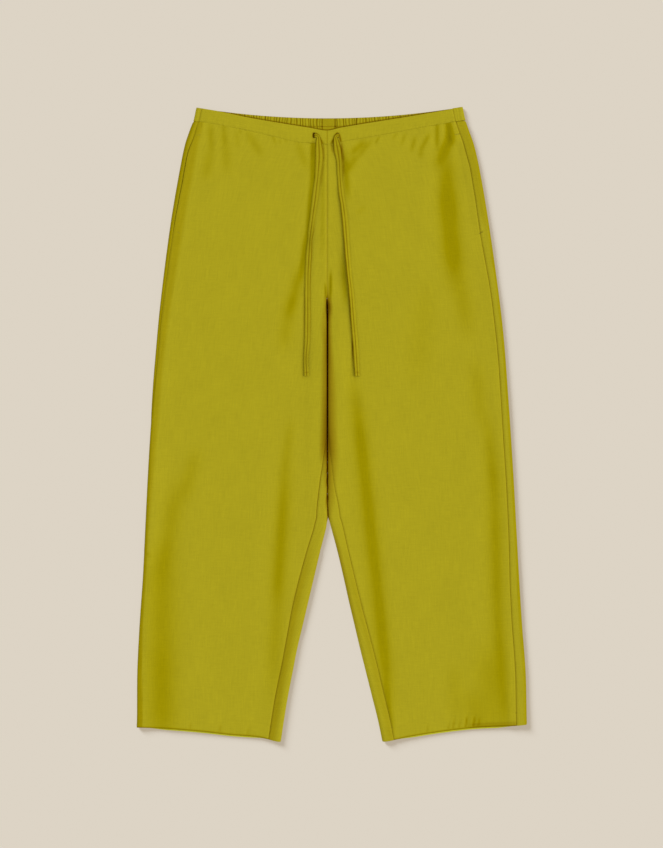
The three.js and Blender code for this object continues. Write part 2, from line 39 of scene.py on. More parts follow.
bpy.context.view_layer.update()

# The cloth is laid out in millimetres from the foot of the centre seam, X to the right as seen from
# above and Y up the garment. Meshes are made in metres about the frame's own origin.
mm = 0.001
frameOrigin = np.array([6.596, 477.909, 0.0])

print("camera")
shot = {"distance": 3.6, "fieldHeight": 1.272, "over": (0.00015, 0.0006)}
bpy.ops.object.camera_add(location=(*shot["over"], shot["distance"]), rotation=(0, 0, 0))
camera = bpy.context.object
camera.data.lens = camera.data.sensor_width * (shot["distance"] - 0.004) / shot["fieldHeight"]
camera.data.clip_end = 50
bpy.context.scene.camera = camera

print("floor and lights")
light = {
    "sky": 0.68, "key": 0.34, "keyToward": (80, 44), "keyAngle": 55,
    "floor": 2.7, "floorToward": (317, 22), "floorAngle": 22,
}
bpy.ops.mesh.primitive_plane_add(size=9, location=(0, 0, -0.0003))
floor = bpy.context.object
floor.name = "floor"
clothSet = bpy.data.collections.new("cloth")
floorSet = bpy.data.collections.new("ground")
floorSet.objects.link(floor)

world = bpy.data.worlds.new("room")
world.use_nodes = True
world.node_tree.nodes["Background"].inputs["Color"].default_value = (1, 1, 1, 1)
world.node_tree.nodes["Background"].inputs["Strength"].default_value = light["sky"]
bpy.context.scene.world = world
bpy.context.scene.view_settings.view_transform = "Standard"


def addSun(name, share, fromAzimuth, elevation, angle, lit):
    # share is the part of a white surface's brightness that this light gives
    azimuth, height = math.radians(90 - fromAzimuth), math.radians(elevation)
    level = math.cos(height)
    source = Vector((math.cos(azimuth) * level, math.sin(azimuth) * level, math.sin(height)))
    turn = source.to_track_quat("Z", "Y").to_euler()
    bpy.ops.object.light_add(type="SUN", location=source * 3, rotation=turn)
    lamp = bpy.context.object
    lamp.name = name
    lamp.data.energy = share * math.pi / math.sin(height)
    lamp.data.angle = math.radians(angle)
    lamp.light_linking.receiver_collection = lit


addSun("key", light["key"], *light["keyToward"], light["keyAngle"], clothSet)
addSun("floor_shadow", light["floor"], *light["floorToward"], light["floorAngle"], floorSet)


# Values of tables, eased steps and soft bumps.
def ease(start, end, at):
    t = np.clip((at - start) / (end - start), 0, 1)
    return t * t * (3 - 2 * t)


def bell(ratio):
    return np.exp(-ratio * ratio)


def onCurve(table, column, at):
    key, value = table[:, 0], table[:, column]
    slope = np.empty(len(key))
    slope[1:-1] = (value[2:] - value[:-2]) / (key[2:] - key[:-2])
    slope[0] = (value[1] - value[0]) / (key[1] - key[0])
    slope[-1] = (value[-1] - value[-2]) / (key[-1] - key[-2])
    i = np.clip(np.searchsorted(key, at) - 1, 0, len(key) - 2)
    span = key[i + 1] - key[i]
    t = np.clip((at - key[i]) / span, 0, 1)
    rest = 1 - t
    level = value[i] * (1 + 2 * t) * rest * rest + value[i + 1] * (3 - 2 * t) * t * t
    return level + span * t * rest * (slope[i] * rest - slope[i + 1] * t)


def wander(at, pitch, seed):
    # a smooth uneven wave between about -1 and 1
    k = 2 * math.pi / pitch
    waves = ((0.5, 1, 1), (0.3, 1.73, 2.1), (0.2, 0.61, 4.7))
    return sum(size * np.sin(rate * k * at + start * seed) for size, rate, start in waves)


# each side's way outwards along X, and its column in the tables
sides = {"left": (-1, 1), "right": (1, 2)}

# Outline and seams, close to those of the solids: height, then left and right.
outerEdge = np.array([
    (18, -286.5, 300.6), (34, -285.5, 299.8), (106, -285, 298.2), (178, -281.5, 292.8),
    (250, -276.5, 288.3), (322, -273, 284.3), (394, -269.5, 280.3), (466, -265.5, 275.8),
    (538, -261, 270.8), (592, -256.5, 266.8), (646, -251.5, 261.3), (718, -243, 251.8),
    (790, -233, 241.2), (862, -220.5, 228.8), (898, -213, 220.4), (919, -206, 213), (933, -200.8, 208.3),
    (955, -196, 203.5)])
innerEdge = np.array([
    (0, -69.5, 83.5), (34, -64.5, 76.5), (70, -58.5, 67.5), (106, -51.5, 58.5), (142, -44.5, 49.5),
    (178, -36, 41), (214, -27.5, 32.5), (250, -19, 24.5), (286, -10.5, 16), (322, -1.4, 6.5),
    (331, 0, 4.1), (336, 1.1, 2.5), (339, 1.5, 1.55), (350, 0.9, 0.904), (380, 0.6, 0.604),
    (430, 0.6, 0.604), (640, 0.6, 0.604), (667, 0, 0.004)])
sideSeam = np.array([
    (20, -1, 17.4), (120, -1, 16.6), (226, -1, 15.8), (309, -1, 13.4), (391, -1, 12.8), (473, 0, 12.8),
    (517, 3, 12.4), (568, 5, 12.1), (625, 5, 12.7), (688, 5.9, 13.2), (757, 6.9, 16.2), (832, 8.8, 15.8),
    (860, 8.7, 15.4), (885, 8.9, 16.6), (906, 11.4, 16.6), (933, 9.6, 16.4)])
inseam = np.array([
    (9, 19.5, 18.7), (73, 19.8, 19.4), (140, 19.6, 20.2), (210, 23, 18.4), (280, 21.4, 17.4),
    (345, 17.4, 18.6), (388, 12.4, 11), (425, 7, 6.5), (475, 2, 2), (560, 0, 0), (620, 1, 1),
    (667, 5, 5)])
# hem and waist: place across, then height
hemLine = np.array([
    (-287, 23.2), (-236, 21), (-189, 17.2), (-144, 12.2), (-102, 8.6), (-69, 1.5), (84, 1.8), (121, 9),
    (170, 16.8), (222, 22.8), (282, 25.6), (300, 27.5)])
frontWaist = np.array([
    (-200, 932.5), (-168, 928.5), (-123, 919.5), (-75, 908.5), (-47, 902), (-23, 900), (0, 897.8),
    (24, 902.4), (55, 907.6), (114, 918), (168, 928.2), (209, 933.5)])
frontTop = np.array([
    (-197, 953.4), (-162, 947.6), (-121, 938.9), (-78, 931.3), (-27, 923.1), (0, 918.8), (19, 922.8),
    (58, 929.5), (128, 940.7), (168, 947.6), (204, 954.6)])
crotch, waistRow = 667, 900

# how the front lies on the back
lay = {
    "rest": 3.4, "roll": 4.4, "innerRoll": 5.6, "edgeRise": 1.9, "edgeSpread": 20, "hemRise": 0.9,
    "hemSpread": 70, "waistRise": 1.5, "waistSpread": 45, "least": 1.9, "most": 7.2, "slack": 0.4,
    "hemFold": 20, "puckerLean": 0.12, "shirring": (0.4, 0.75),
}
backDip = {"middle": 916.4, "sides": 933.6, "half": 205}

# Folds and creases of the front: from, to, half width and rise. A rise below 0 is a trough.
creases = np.array([
    # large folds, which the solids have too
    (182, 932, 186, 898, 6.5, -1.2), (188, 912, 164, 864, 8, -0.9), (178, 870, 187, 685, 14, -0.7),
    (200, 900, 214, 720, 14, 1.0), (152, 925, 138, 760, 13, 1.0), (-168, 900, -176, 640, 24, 0.7),
    (-22, 600, -24, 340, 10, 1.0), (24, 655, 26, 480, 10, 1.1), (-224, 392, -247, 250, 15, -0.7),
    (-248, 290, -247, 120, 23, -0.85), (-262, 520, -268, 140, 9, 0.7), (-204, 330, -200, 40, 20, 0.7),
    (-58, 420, -84, 70, 12, -0.6), (-96, 480, -118, 60, 20, 0.6), (44, 520, 92, 55, 13, -0.75),
    (76, 520, 124, 60, 20, 0.6), (246, 478, 258, 36, 15, -0.35), (212, 480, 222, 40, 20, 0.7),
    # puckers that fall from the right of the waist seam
    (181.5, 936, 185.4, 900, 3.6, -1.4), (187, 915, 172, 880, 6, -1.0), (179, 890, 182, 785, 13, -0.7),
    (182, 822, 192, 715, 14, -0.7), (189, 750, 212, 610, 14, -0.6), (165.6, 937, 165, 890, 3.6, -1.0),
    (154, 914, 142, 892, 3.6, -0.8), (142, 897, 140, 877, 4.2, -0.6), (133, 910, 126, 887, 3.4, -0.7),
    (118, 915, 111, 896, 2.8, -0.5), (78.6, 910, 72.6, 899, 1.7, -0.7), (58.5, 904, 34, 882, 5.6, -0.9),
    (68, 905, 43, 875, 4.2, -0.6), (43, 881, 31, 857, 6.5, -0.8), (58, 806, 45, 794, 4, -0.3),
    (105, 915, 98, 905, 2.6, -0.4), (174, 928, 171, 890, 4, 0.6), (194, 922, 188, 862, 5, 0.6),
    (148, 926, 140, 905, 3.4, 0.4), (150, 690, 134, 540, 20, -0.25),
    # and from the left of it
    (-175, 930, -173, 886, 5, -0.6), (-155, 936, -154, 898, 4.4, -0.5),
    (-153, 912, -150, 855, 7.5, -0.45), (-166, 922, -165, 867, 4.4, 0.5), (-174, 892, -183, 845, 8, -0.5),
    (-121, 918, -97, 880, 6.5, -0.5), (-81.6, 912, -77, 898, 2.2, -0.5), (-72, 906, -69, 898, 1.8, -0.35),
    (-62, 908, -61, 900, 1.8, -0.35), (-131, 921, -129.5, 913, 1.9, -0.4), (-45, 903, -30, 862, 6, -0.5),
    (-136, 919, -133, 892, 4, -0.3),
    # beside the ties
    (-20.4, 913, -20.8, 838, 4.2, -1.7), (-22.4, 850, -30, 754, 3.6, -1.3),
    (-30.5, 766, -39, 697, 4.6, -1.3), (-39, 716, -57, 640, 9, -0.9), (-54, 668, -66, 590, 11, -0.55),
    (26.5, 890, 31, 815, 5, -1.0), (24, 732, 28.5, 657, 4.6, -0.9), (3.2, 905, 3.4, 770, 3.4, 0.4),
    (-6, 890, -6.8, 722, 4, -0.4), (14, 668, 19.5, 515, 7, 0.8),
    # where the legs part
    (5.6, 708, 5.2, 664, 2.4, -1.3), (-2.6, 690, -1.4, 664, 2.2, -1.0), (-54, 484, -66, 395, 8, -0.5),
    (-64, 410, -72, 300, 9, -0.5), (-70, 320, -77, 210, 10, -0.5), (38, 556, 60, 372, 10, -0.5),
    (58, 394, 75, 245, 10, -0.5), (74, 268, 95, 52, 9, -0.5), (87, 95, 100, 10, 4.5, -0.7),
    (222, 575, 232, 470, 12, -0.45), (240, 490, 252, 370, 9, -0.5), (251, 400, 258, 150, 10, -0.6),
    (258, 190, 270, 0, 9, -0.55), (246, 570, 262, 400, 6, 0.5), (272.5, 165, 275, 15, 3.6, 0.6),
    (238, 150, 248, -10, 24, -0.55), (215, 80, 226, 10, 14, -0.4), (190, 120, 196, 20, 14, -0.3),
    (-196, 440, -216, 360, 12, -0.5), (-248, 150, -247, -5, 23, -1.0), (-66, 125, -75, 10, 6, -0.5),
    (-241, 466, -266, 275, 7, 0.5), (-266, 290, -272, 65, 6, 0.5), (-278.5, 291, -265, 280, 2.6, -0.7),
])
# short puckers where the hem is caught: place across, length, rise
hemPuckers = np.array([
    (183, 8, -0.2), (190, 12, -0.26), (199, 9, -0.2), (209, 14, -0.42), (214, 7, -0.15),
    (220.5, 12, -0.45), (228, 10, -0.3), (151, 9, -0.15), (-205, 8, -0.15), (-160, 10, -0.18),
    (-118, 9, -0.16)])
# painted shadows of the ties on the front and its waistband: a line, its width and how dark it is
tieShadowLines = [
    ((-16.6, 915.4, -9.6, 905.2, 1.2), 0.5), ((-10.2, 907, -5.2, 897, 1.3), 0.36),
    ((-5.4, 900, -5.2, 868, 1.7), 0.26), ((-5.2, 872, -9.5, 835, 1.8), 0.2),
    ((16.3, 915.6, 10.8, 906.6, 1.7), 0.85), ((11.6, 908, 6.4, 899, 1.4), 0.5),
    ((6.2, 901, 8.8, 884, 1.3), 0.3), ((17.9, 915, 21.4, 899, 1.3), 0.5),
    ((20.9, 902, 24.6, 868, 1.9), 0.5), ((-20.6, 906, -21.4, 872, 2.6), 0.16),
    ((24.4, 874, 26, 850, 1.7), 0.3), ((31.5, 705, 38.3, 612, 1.0), 0.4),
    ((37.6, 622, 40.9, 547, 1.0), 0.6), ((-33.6, 690, -34.2, 600, 1.1), 0.2),
    ((-34, 612, -35.8, 548, 1.3), 0.26),
]
# creases of the back, which rise off the surface: from, to, half width and rise
backCreases = np.array([
    (-150, 905, -140, 760, 12, 1.4), (-92, 908, -96, 800, 9, 1.0), (-40, 905, -30, 720, 12, 1.2),
    (60, 905, 48, 770, 10, 1.1), (118, 905, 126, 740, 13, 1.4), (172, 900, 160, 800, 8, 1.0),
    (-60, 640, -130, 560, 14, 1.3), (70, 645, 140, 590, 15, 1.2), (-200, 700, -212, 470, 16, 1.3),
    (205, 690, 222, 450, 17, 1.4), (-120, 470, -150, 250, 18, 1.3), (110, 480, 150, 230, 18, 1.3),
    (-230, 330, -236, 90, 14, 1.0), (238, 340, 250, 80, 15, 1.1), (-92, 240, -110, 60, 12, 1.0),
    (100, 250, 128, 70, 13, 1.0), (-180, 180, -176, 40, 14, 0.8), (190, 190, 184, 50, 14, 0.8),
    (-30, 560, -44, 380, 9, 0.9), (28, 570, 46, 390, 9, 0.9)])
# how creases are shaped, and how much shade is painted in their troughs
creaseForm = {"gain": 1.7, "steep": 1.3, "gentle": 0.45, "fade": 90, "tone": 0.95, "deepest": 1.15}


def hemAt(x):
    return onCurve(hemLine, 1, x)


def frontWaistAt(x):
    return onCurve(frontWaist, 1, x)


def backWaistAt(x):
    return backDip["middle"] + (backDip["sides"] - backDip["middle"]) * (x / backDip["half"]) ** 2


def bySide(table, x, y):
    return np.where(x < 0, onCurve(table, 1, y), onCurve(table, 2, y))


def rowHeight(row, x, waistAt, peek=0.0):
    # rows follow the hem at the foot, are level in the middle and follow the waist at the head
    foot = np.clip((160 - row) / 130, 0, 1)
    head = np.clip((row - 740) / 160, 0, 1)
    return row + (hemAt(x) - peek) * foot + (waistAt(x) - waistRow) * head


def edgeOnRow(table, column, waistAt):
    x = onCurve(table, column, rows)
    for _ in range(4):
        x = onCurve(table, column, rowHeight(rows, x, waistAt))
    return x


def stroke(x, y, line):
    # distance to the right of a line's middle as a share of its width, and how far its ends have faded
    x0, y0, x1, y1, width = line
    length = math.hypot(x1 - x0, y1 - y0)
    along = ((x - x0) * (x1 - x0) + (y - y0) * (y1 - y0)) / length
    across = ((x - x0) * (y0 - y1) - (y - y0) * (x0 - x1)) / length
    fade = min(0.35 * length, creaseForm["fade"])
    return across / width, ease(-fade / 2, fade, along) * ease(-fade / 2, fade, length - along)


def creaseRise(crease, x, y):
    x0, y0, x1, y1, _, rise = crease
    across, ends = stroke(x, y, crease[:5])
    if rise > 0:
        return rise * bell(across) * ends
    # a trough falls off to one side and comes up steeply towards the light
    lit = math.radians(light["keyToward"][0])
    toward = across if (y0 - y1) * math.sin(lit) + (x1 - x0) * math.cos(lit) > 0 else -across
    dip = np.tanh(creaseForm["steep"] * toward) - np.tanh(creaseForm["gentle"] * toward)
    return -creaseForm["gain"] * rise * dip * ends


def creaseTone(x, y):
    # how deep in the troughs a place lies, from 0 to a little over 1, which sets the shade painted there
    tone = 0 * x
    for crease in creases:
        if crease[5] < 0:
            across, ends = stroke(x, y, crease[:5])
            tone = tone - creaseForm["tone"] * crease[5] * bell(across) * ends
    return np.clip(tone, 0, creaseForm["deepest"])


def puckers(x, aboveHem, width, gone, whole):
    # troughs of the hem's puckers: how far past its length each is gone, and from where it is whole
    total = 0 * x
    for place, length, rise in hemPuckers:
        lean = x - place - lay["puckerLean"] * (aboveHem - 10)
        ends = ease(1, 4, aboveHem) * ease(length + gone, length + whole, aboveHem)
        total = total + 2 * rise * bell(lean / width) * ends
    return total


def slackAt(x, y):
    # how the cloth wavers between the folds
    broad = wander(x + 0.3 * y, 118, 1.3) * wander(y - 0.4 * x, 171, 2.2)
    return lay["slack"] * (broad + 0.4 * wander(x - 0.2 * y, 47, 0.4) * wander(y, 83, 5.1))


def shirringAt(x, belowWaist):
    # short ripples below the waist seam, stronger towards the sides
    least, most = lay["shirring"]
    rise = least + (most - least) * ease(60, 130, np.abs(x))
    return rise * wander(x, 7.5, 0.7) * wander(x, 61, 1.9) * ease(18, 2, belowWaist)


def frontHeight(x, y):
    # height of the front layer's face above the surface
    outer, inner = bySide(outerEdge, x, y), bySide(innerEdge, x, y)
    aboveHem, belowWaist = y - hemAt(x), frontWaistAt(x) - y
    atInner = lay["edgeRise"] * bell((x - inner) / lay["edgeSpread"]) * ease(0, 90, crotch - y)
    height = lay["rest"] + lay["edgeRise"] * bell((outer - x) / lay["edgeSpread"])
    height = height + np.where(y < crotch, atInner, 0)
    height = height + lay["hemRise"] * ease(lay["hemSpread"], 0, aboveHem)
    height = height + lay["waistRise"] * ease(lay["waistSpread"], 0, belowWaist)
    for crease in creases:
        height = height + creaseRise(crease, x, y)
    height = height + puckers(x, aboveHem, 1.9, 12, 0) + slackAt(x, y) + shirringAt(x, belowWaist)
    fromFold = aboveHem - lay["hemFold"]
    height = height - 0.3 * bell(fromFold / 1.6) + 0.1 * bell((fromFold + 3) / 2.5)
    return np.clip(height, lay["least"], lay["most"])


def backHeight(x, y):
    # how far the back layer's outer face is off the surface it lies on
    height = 0.12 + 0.1 * wander(x + 0.5 * y, 90, 3.1) * wander(y, 140, 0.3)
    for crease in backCreases:
        height = height + creaseRise(crease, x, y)
    belowWaist = backWaistAt(x) - y
    gathers = 0.5 + 0.5 * wander(x + 0.6 * np.sin(y / 17), 9.5, 2.4)
    return np.maximum(height + 1.1 * gathers * ease(75, 4, belowWaist), 0)


# Shader nodes: a signal can be added and multiplied like a number, and the graph adds any other node.
class Signal:
    def __init__(self, graph, socket):
        self.graph, self.socket = graph, socket

    def __add__(self, other):
        return self.graph.combine("ADD", self, other)

    def __sub__(self, other):
        return self.graph.combine("SUBTRACT", self, other)

    def __rsub__(self, other):
        return self.graph.combine("SUBTRACT", other, self)

    def __mul__(self, other):
        return self.graph.combine("MULTIPLY", self, other)

    __radd__ = __add__


class Graph:
    def __init__(self, name):
        self.material = bpy.data.materials.new(name)
        self.material.use_nodes = True
        self.tree = self.material.node_tree
        self.surface = self.tree.nodes["Principled BSDF"]

    def feed(self, socket, value):
        if isinstance(value, Signal):
            self.tree.links.new(value.socket, socket)
        else:
            socket.default_value = value

    def node(self, kind, settings, inputs, output=0):
        made = self.tree.nodes.new(kind)
        for key, value in settings.items():
            setattr(made, key, value)
        for key, value in inputs.items():
            self.feed(made.inputs[key], value)
        return Signal(self, made.outputs[output])

    def combine(self, operation, left, right=0.0):
        return self.node("ShaderNodeMath", {"operation": operation}, {0: left, 1: right})

    def stretched(self, where, scale):
        return self.node("ShaderNodeVectorMath", {"operation": "MULTIPLY"}, {0: where, 1: scale})

    def noise(self, where, scale, detail=2.0):
        place = self.stretched(where, scale)
        return self.node("ShaderNodeTexNoise", {}, {"Vector": place, "Scale": 1.0, "Detail": detail}) - 0.5

    def finish(self, inputs):
        for key, value in inputs.items():
            self.feed(self.surface.inputs[key], value)
        return self.material


weave = {
    "period": 0.9, "threadHeight": 0.00005, "slubHeight": 0.00022, "warp": (1500.0, 42.0, 0.0),
    "weft": (38.0, 1500.0, 0.0), "streak": (620.0, 36.0, 0.0), "bar": (60.0, 560.0, 0.0),
    "patch": (28.0, 17.0, 0.0), "warpTone": 0.18, "weftTone": 0.14, "streakTone": 0.19,
    "barTone": 0.14, "patchTone": 0.08, "greenFall": 1.45, "blueFall": 2.6,
}


def clothMaterial(name, colour):
    graph = Graph(name)
    threads = graph.node("ShaderNodeUVMap", {"uv_map": "threads"}, {})
    # painted shade: the shade attribute darkens the cloth's colour
    shade = graph.node("ShaderNodeAttribute", {"attribute_name": "shade"}, {}, 2)
    warpSlubs = graph.noise(threads, weave["warp"], 3.0)
    weftSlubs = graph.noise(threads, weave["weft"], 3.0)
    patches = graph.noise(threads, weave["patch"])
    across = graph.node("ShaderNodeSeparateXYZ", {}, {0: threads}, 0)
    along = graph.node("ShaderNodeSeparateXYZ", {}, {0: threads}, 1)
    turns = 2 * math.pi / (weave["period"] * mm)
    crossing = graph.combine("SINE", across * turns) * graph.combine("SINE", along * turns)
    height = crossing * weave["threadHeight"] + (warpSlubs + weftSlubs) * weave["slubHeight"]
    bump = graph.node("ShaderNodeBump", {}, {"Height": height, "Distance": 1.0, "Strength": 1.0})
    streaks = graph.noise(threads, weave["streak"])
    bars = graph.noise(threads, weave["bar"])
    tone = 1.0 + warpSlubs * weave["warpTone"] + weftSlubs * weave["weftTone"]
    tone = tone + streaks * weave["streakTone"] + bars * weave["barTone"] + patches * weave["patchTone"]
    tinted = graph.node("ShaderNodeVectorMath", {"operation": "SCALE"}, {0: colour, "Scale": tone})
    # painted shade tint: a second attribute mixes a greyer, browner colour in where shade is painted
    shadeTint = graph.node("ShaderNodeAttribute", {"attribute_name": "shadeTint"}, {}, 2)
    colours = {0: shadeTint, 6: (1, 1, 1, 1), 7: shadeTintColour}
    deep = graph.node("ShaderNodeMix", {"data_type": "RGBA"}, colours, 2)
    toned = graph.stretched(tinted, deep)
    # painted shade: the colour turns darker and browner as the shade attribute grows
    kept = 1.0 - graph.combine("MINIMUM", shade, 0.98)
    green, blue = (graph.combine("POWER", kept, weave[fall]) for fall in ("greenFall", "blueFall"))
    inShade = graph.stretched(toned, graph.node("ShaderNodeCombineXYZ", {}, {0: kept, 1: green, 2: blue}))
    finish = {"Base Color": inShade, "Normal": bump, "Roughness": 0.85, "Specular IOR Level": 0.0}
    return graph.finish(finish)


# the tint that painted shade mixes into the cloth
shadeTintColour = (0.885, 0.865, 0.08, 1)
linen = clothMaterial("linen", (0.407, 0.347, 0.0131))
tape = clothMaterial("tape", (0.4, 0.34, 0.0122))
sewing = Graph("thread").finish({
    "Base Color": (0.3, 0.25, 0.008, 1), "Roughness": 0.7, "Specular IOR Level": 0.2,
})
ground = Graph("floor").finish({
    "Base Color": (0.0831, 0.0852, 0.0831, 1), "Roughness": 1.0, "Specular IOR Level": 0.0,
    "Emission Color": (0.82, 0.686, 0.515, 1), "Emission Strength": 0.538,
})
floor.data.materials.append(ground)


def meshPiece(name, points, faces):
    mesh = bpy.data.meshes.new(name)
    mesh.from_pydata(((points - frameOrigin) * mm).tolist(), [], faces)
    piece = bpy.data.objects.new(name, mesh)
    bpy.context.collection.objects.link(piece)
    return piece, mesh


def makePiece(node, points, faces, pattern, shade, shadeTint, slot):
    piece, mesh = meshPiece(f"cloth_{node}", points, faces)
    corners = np.empty(len(mesh.loops), dtype=np.int64)
    mesh.loops.foreach_get("vertex_index", corners)
    threads = mesh.uv_layers.new(name="threads")
    threads.data.foreach_set("uv", (pattern * mm)[corners].astype(np.float32).ravel())
    for label, values in (("shade", shade), ("shadeTint", shadeTint)):
        mesh.attributes.new(label, "FLOAT", "POINT").data.foreach_set("value", values.astype(np.float32))
    bpy.ops.object.select_all(action="DESELECT")
    piece.select_set(True)
    bpy.context.view_layer.objects.active = piece
    bpy.ops.object.shade_smooth_by_angle(angle=math.radians(48))
    mesh.materials.append(tape if slot == "tie" else linen)
    clothSet.objects.link(piece)
    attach(piece, "root")
    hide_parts(node)
    return piece


def gridNormals(grid):
    across = np.gradient(grid, axis=1)
    upward = np.gradient(grid, axis=0)
    normal = np.cross(across, upward)
    return normal / np.maximum(np.linalg.norm(normal, axis=2, keepdims=True), 1e-9)


def closedShell(outer, inner):
    # points and faces of a closed wall between two grids of the same size
    high, wide = outer.shape[:2]
    near = np.arange(high * wide).reshape(high, wide)
    far = near + high * wide
    faces = []
    for grid in (near, far[:, ::-1]):
        a, b, c, d = grid[:-1, :-1], grid[:-1, 1:], grid[1:, 1:], grid[1:, :-1]
        faces.append(np.stack([a, b, c, d], 2).reshape(-1, 4))
    rims = ((near[:, 0], far[:, 0]), (far[:, -1], near[:, -1]), (far[0], near[0]), (near[-1], far[-1]))
    for edge, other in rims:
        faces.append(np.stack([edge[:-1], edge[1:], other[1:], other[:-1]], 1))
    return np.concatenate([outer.reshape(-1, 3), inner.reshape(-1, 3)]), np.concatenate(faces)


def makeWall(node, outer, inner, pattern, shades, shadeTints, turned):
    # a piece from its two faces, with the painted shade and shade tint of both. Turned, its rows run the
    # other way.
    way = slice(None, None, -1 if turned else 1)
    level = np.zeros(outer.shape[:2])
    points, faces = closedShell(outer[:, way], inner[:, way])
    pattern = np.concatenate([pattern[:, way].reshape(-1, 2)] * 2)
    pairs = [[(face + level)[:, way].ravel() for face in pair] for pair in (shades, shadeTints)]
    shade, shadeTint = (np.concatenate(pair) for pair in pairs)
    return makePiece(node, points, faces.tolist(), pattern, shade, shadeTint, "linen")


def edgePoint(edgeX, inward, along, top, roll):
    # place and height at a distance round an edge from its outermost point, and the quarter's length
    half = top / 2
    quarter = math.pi / 4 * (roll + half)
    turn = np.clip(along / quarter, -1, 1) * math.pi / 2
    beyond = np.maximum(np.abs(along) - quarter, 0)
    return edgeX + inward * (roll - roll * np.cos(turn) + beyond), half + half * np.sin(turn), quarter


# edges' strip and flank, the hem, its roll and puckers, and the troughs; the peek's is painted light
# the tones are amounts of painted shade: the seam lines, where they stand for dark joins as well, the outer
panel = {
    "thickness": 0.8, "hemThickness": 1.5, "seamGap": 0.12, "seamDepth": 0.75, "seamWidth": 1.5,
    "legGap": 0.004, "pocketTop": 911, "pocketBottom": 765, "pocketLift": 1.2, "pocketReach": 9,
    "peek": 2.3, "peekClear": 12, "peekFull": 50, "frontMiddle": 74, "backMiddle": 44,
    "sideTone": {"left": 0.07, "right": 0.19}, "inseamTone": {"left": 0.26, "right": 0.15},
    "centreTone": 0.13, "stripShade": {"left": 0.12, "right": 0.06}, "stripShadeTint": 0.9,
    "edgeTone": {"left": 0.11, "right": 0.07}, "flankShade": 0.085, "flankShadeTint": 0.55, "peekLight": -0.3,
    "hemEdgeShade": 0.26, "rolledShade": 0.13, "puckerShade": 0.2, "troughShade": 0.05,
    "sideWave": 0.059, "inseamWave": 0.16, "hemRound": {"front": 0.85, "back": 0.8},
    "waistRound": {"front": 0.3, "back": 0.9}, "fork": (337, 315),
}
# by height, how dark the painted shade in the parting between the legs is and how far that reaches, then
# the same for the left flank and for the right one
parting = np.array([
    (332, 0, 1.2, 0, 4, 0, 8), (340, 0.75, 1.5, 0.1, 4, 0.2, 8), (368, 0.8, 1.7, 0.12, 6, 0.28, 14),
    (397, 0.92, 2.0, 0.3, 8, 0.4, 16), (418, 0.9, 2.1, 0.4, 11, 0.44, 18),
    (440, 0.94, 2.4, 0.7, 13, 0.62, 18), (485, 0.97, 2.6, 0.68, 11.5, 0.52, 16),
    (533, 0.95, 2.5, 0.52, 11, 0.5, 14.5), (593, 0.97, 2.6, 0.58, 9, 0.6, 9),
    (631, 0.98, 2.6, 0.34, 11, 0.52, 8), (655, 0.98, 3, 0.4, 7, 0.88, 9),
    (664, 0.85, 2.4, 0.35, 6, 0.7, 8), (672, 0.2, 1.5, 0.2, 6, 0.35, 7), (690, 0, 1, 0.06, 5, 0.1, 5),
    (715, 0, 1, 0, 4, 0, 4)])
# by height, how wide the strip of painted shade along the left and the right outer edge is, then the same
# for the shaded flank beside it
edgeStrip = np.array([
    (18, 8.5, 4), (90, 8, 4), (150, 6.2, 4), (215, 5, 4), (400, 4.6, 3.6), (700, 4.4, 3.4), (880, 5, 3.4),
    (955, 4, 3)])
shadedFlank = np.array([
    (150, 0, 0), (215, 3, 0), (290, 5, 0), (364, 8, 0), (439, 10.5, 0), (514, 12.5, 0), (589, 14, 0),
    (664, 17, 0), (739, 20, 4), (814, 21, 13), (889, 21, 15), (955, 14, 14)])
rows = np.concatenate([
    [0, 0.25, 0.7, 1.4, 2.4, 3.8, 5.6, 7.6, 9.8, 12.2, 14.6, 16.8, 18.4, 19.4, 20.4, 21.6, 23.4, 26],
    np.arange(29, 630, 3.4), np.arange(631, 680, 1.6), np.arange(681, 850, 3.2), np.arange(850, 889, 1.9),
    [890.5, 892.2, 893.8, 895.2, 896.5, 897.6, 898.5, 899.2, 899.7, 900]])
# places across the round of a front's edge, and as many of a back's from its seam to the underside
edgeStops = np.array([-1, -0.6, -0.15, 0.35, 0.9, 1.5, 2.2, 3.1, 4.2, 5.5, 7, 8.8, 11, 13.5, 16.5, 20, 24])
backStops = np.array([0, 0.45, 1, 1.7, 2.6, 3.7, 5, 6.6, 8.4, 10.5, 13, 16, 19.5, 23.5, 28, 33, 38])
stops = len(edgeStops)


def legForm(side, way):
    # the edges of a leg, the cloth's height there and how far round its seams lie, for each row. Way is 1
    # on the front and -1 on the back.
    sign, column = sides[side]
    leg = SimpleNamespace(side=side, sign=sign)
    leg.outerX = edgeOnRow(outerEdge, column, frontWaistAt)
    centre = panel["legGap"] if side == "right" else 0
    leg.innerX = np.where(rows < crotch, edgeOnRow(innerEdge, column, frontWaistAt), centre)
    leg.outerY, leg.innerY = (rowHeight(rows, x, frontWaistAt) for x in (leg.outerX, leg.innerX))
    opened = 0.4 + (lay["innerRoll"] - 0.4) * ease(0, 30, crotch - rows)
    leg.innerRoll = np.where(rows < crotch, opened, 0.01)
    leg.outerTop = frontHeight(leg.outerX - sign * lay["roll"], leg.outerY)
    leg.innerTop = frontHeight(leg.innerX + sign * leg.innerRoll, leg.innerY)
    gap = way * panel["seamGap"]
    quarter = math.pi / 4 * (leg.innerRoll + leg.innerTop / 2)
    joined = ease(crotch - 26, crotch, rows)
    atCentre = np.where(rows < crotch, quarter, way * quarter)
    leg.seam = (onCurve(sideSeam, column, leg.outerY) + gap)[:, None]
    leg.inseam = ((onCurve(inseam, column, leg.innerY) + gap) * (1 - joined) + atCentre * joined)[:, None]
    return leg


def bothEnds(grid):
    # a grid's columns at the outer and at the inner edge, both counted from the seam
    return grid[:, :stops], grid[:, :-stops - 1:-1]


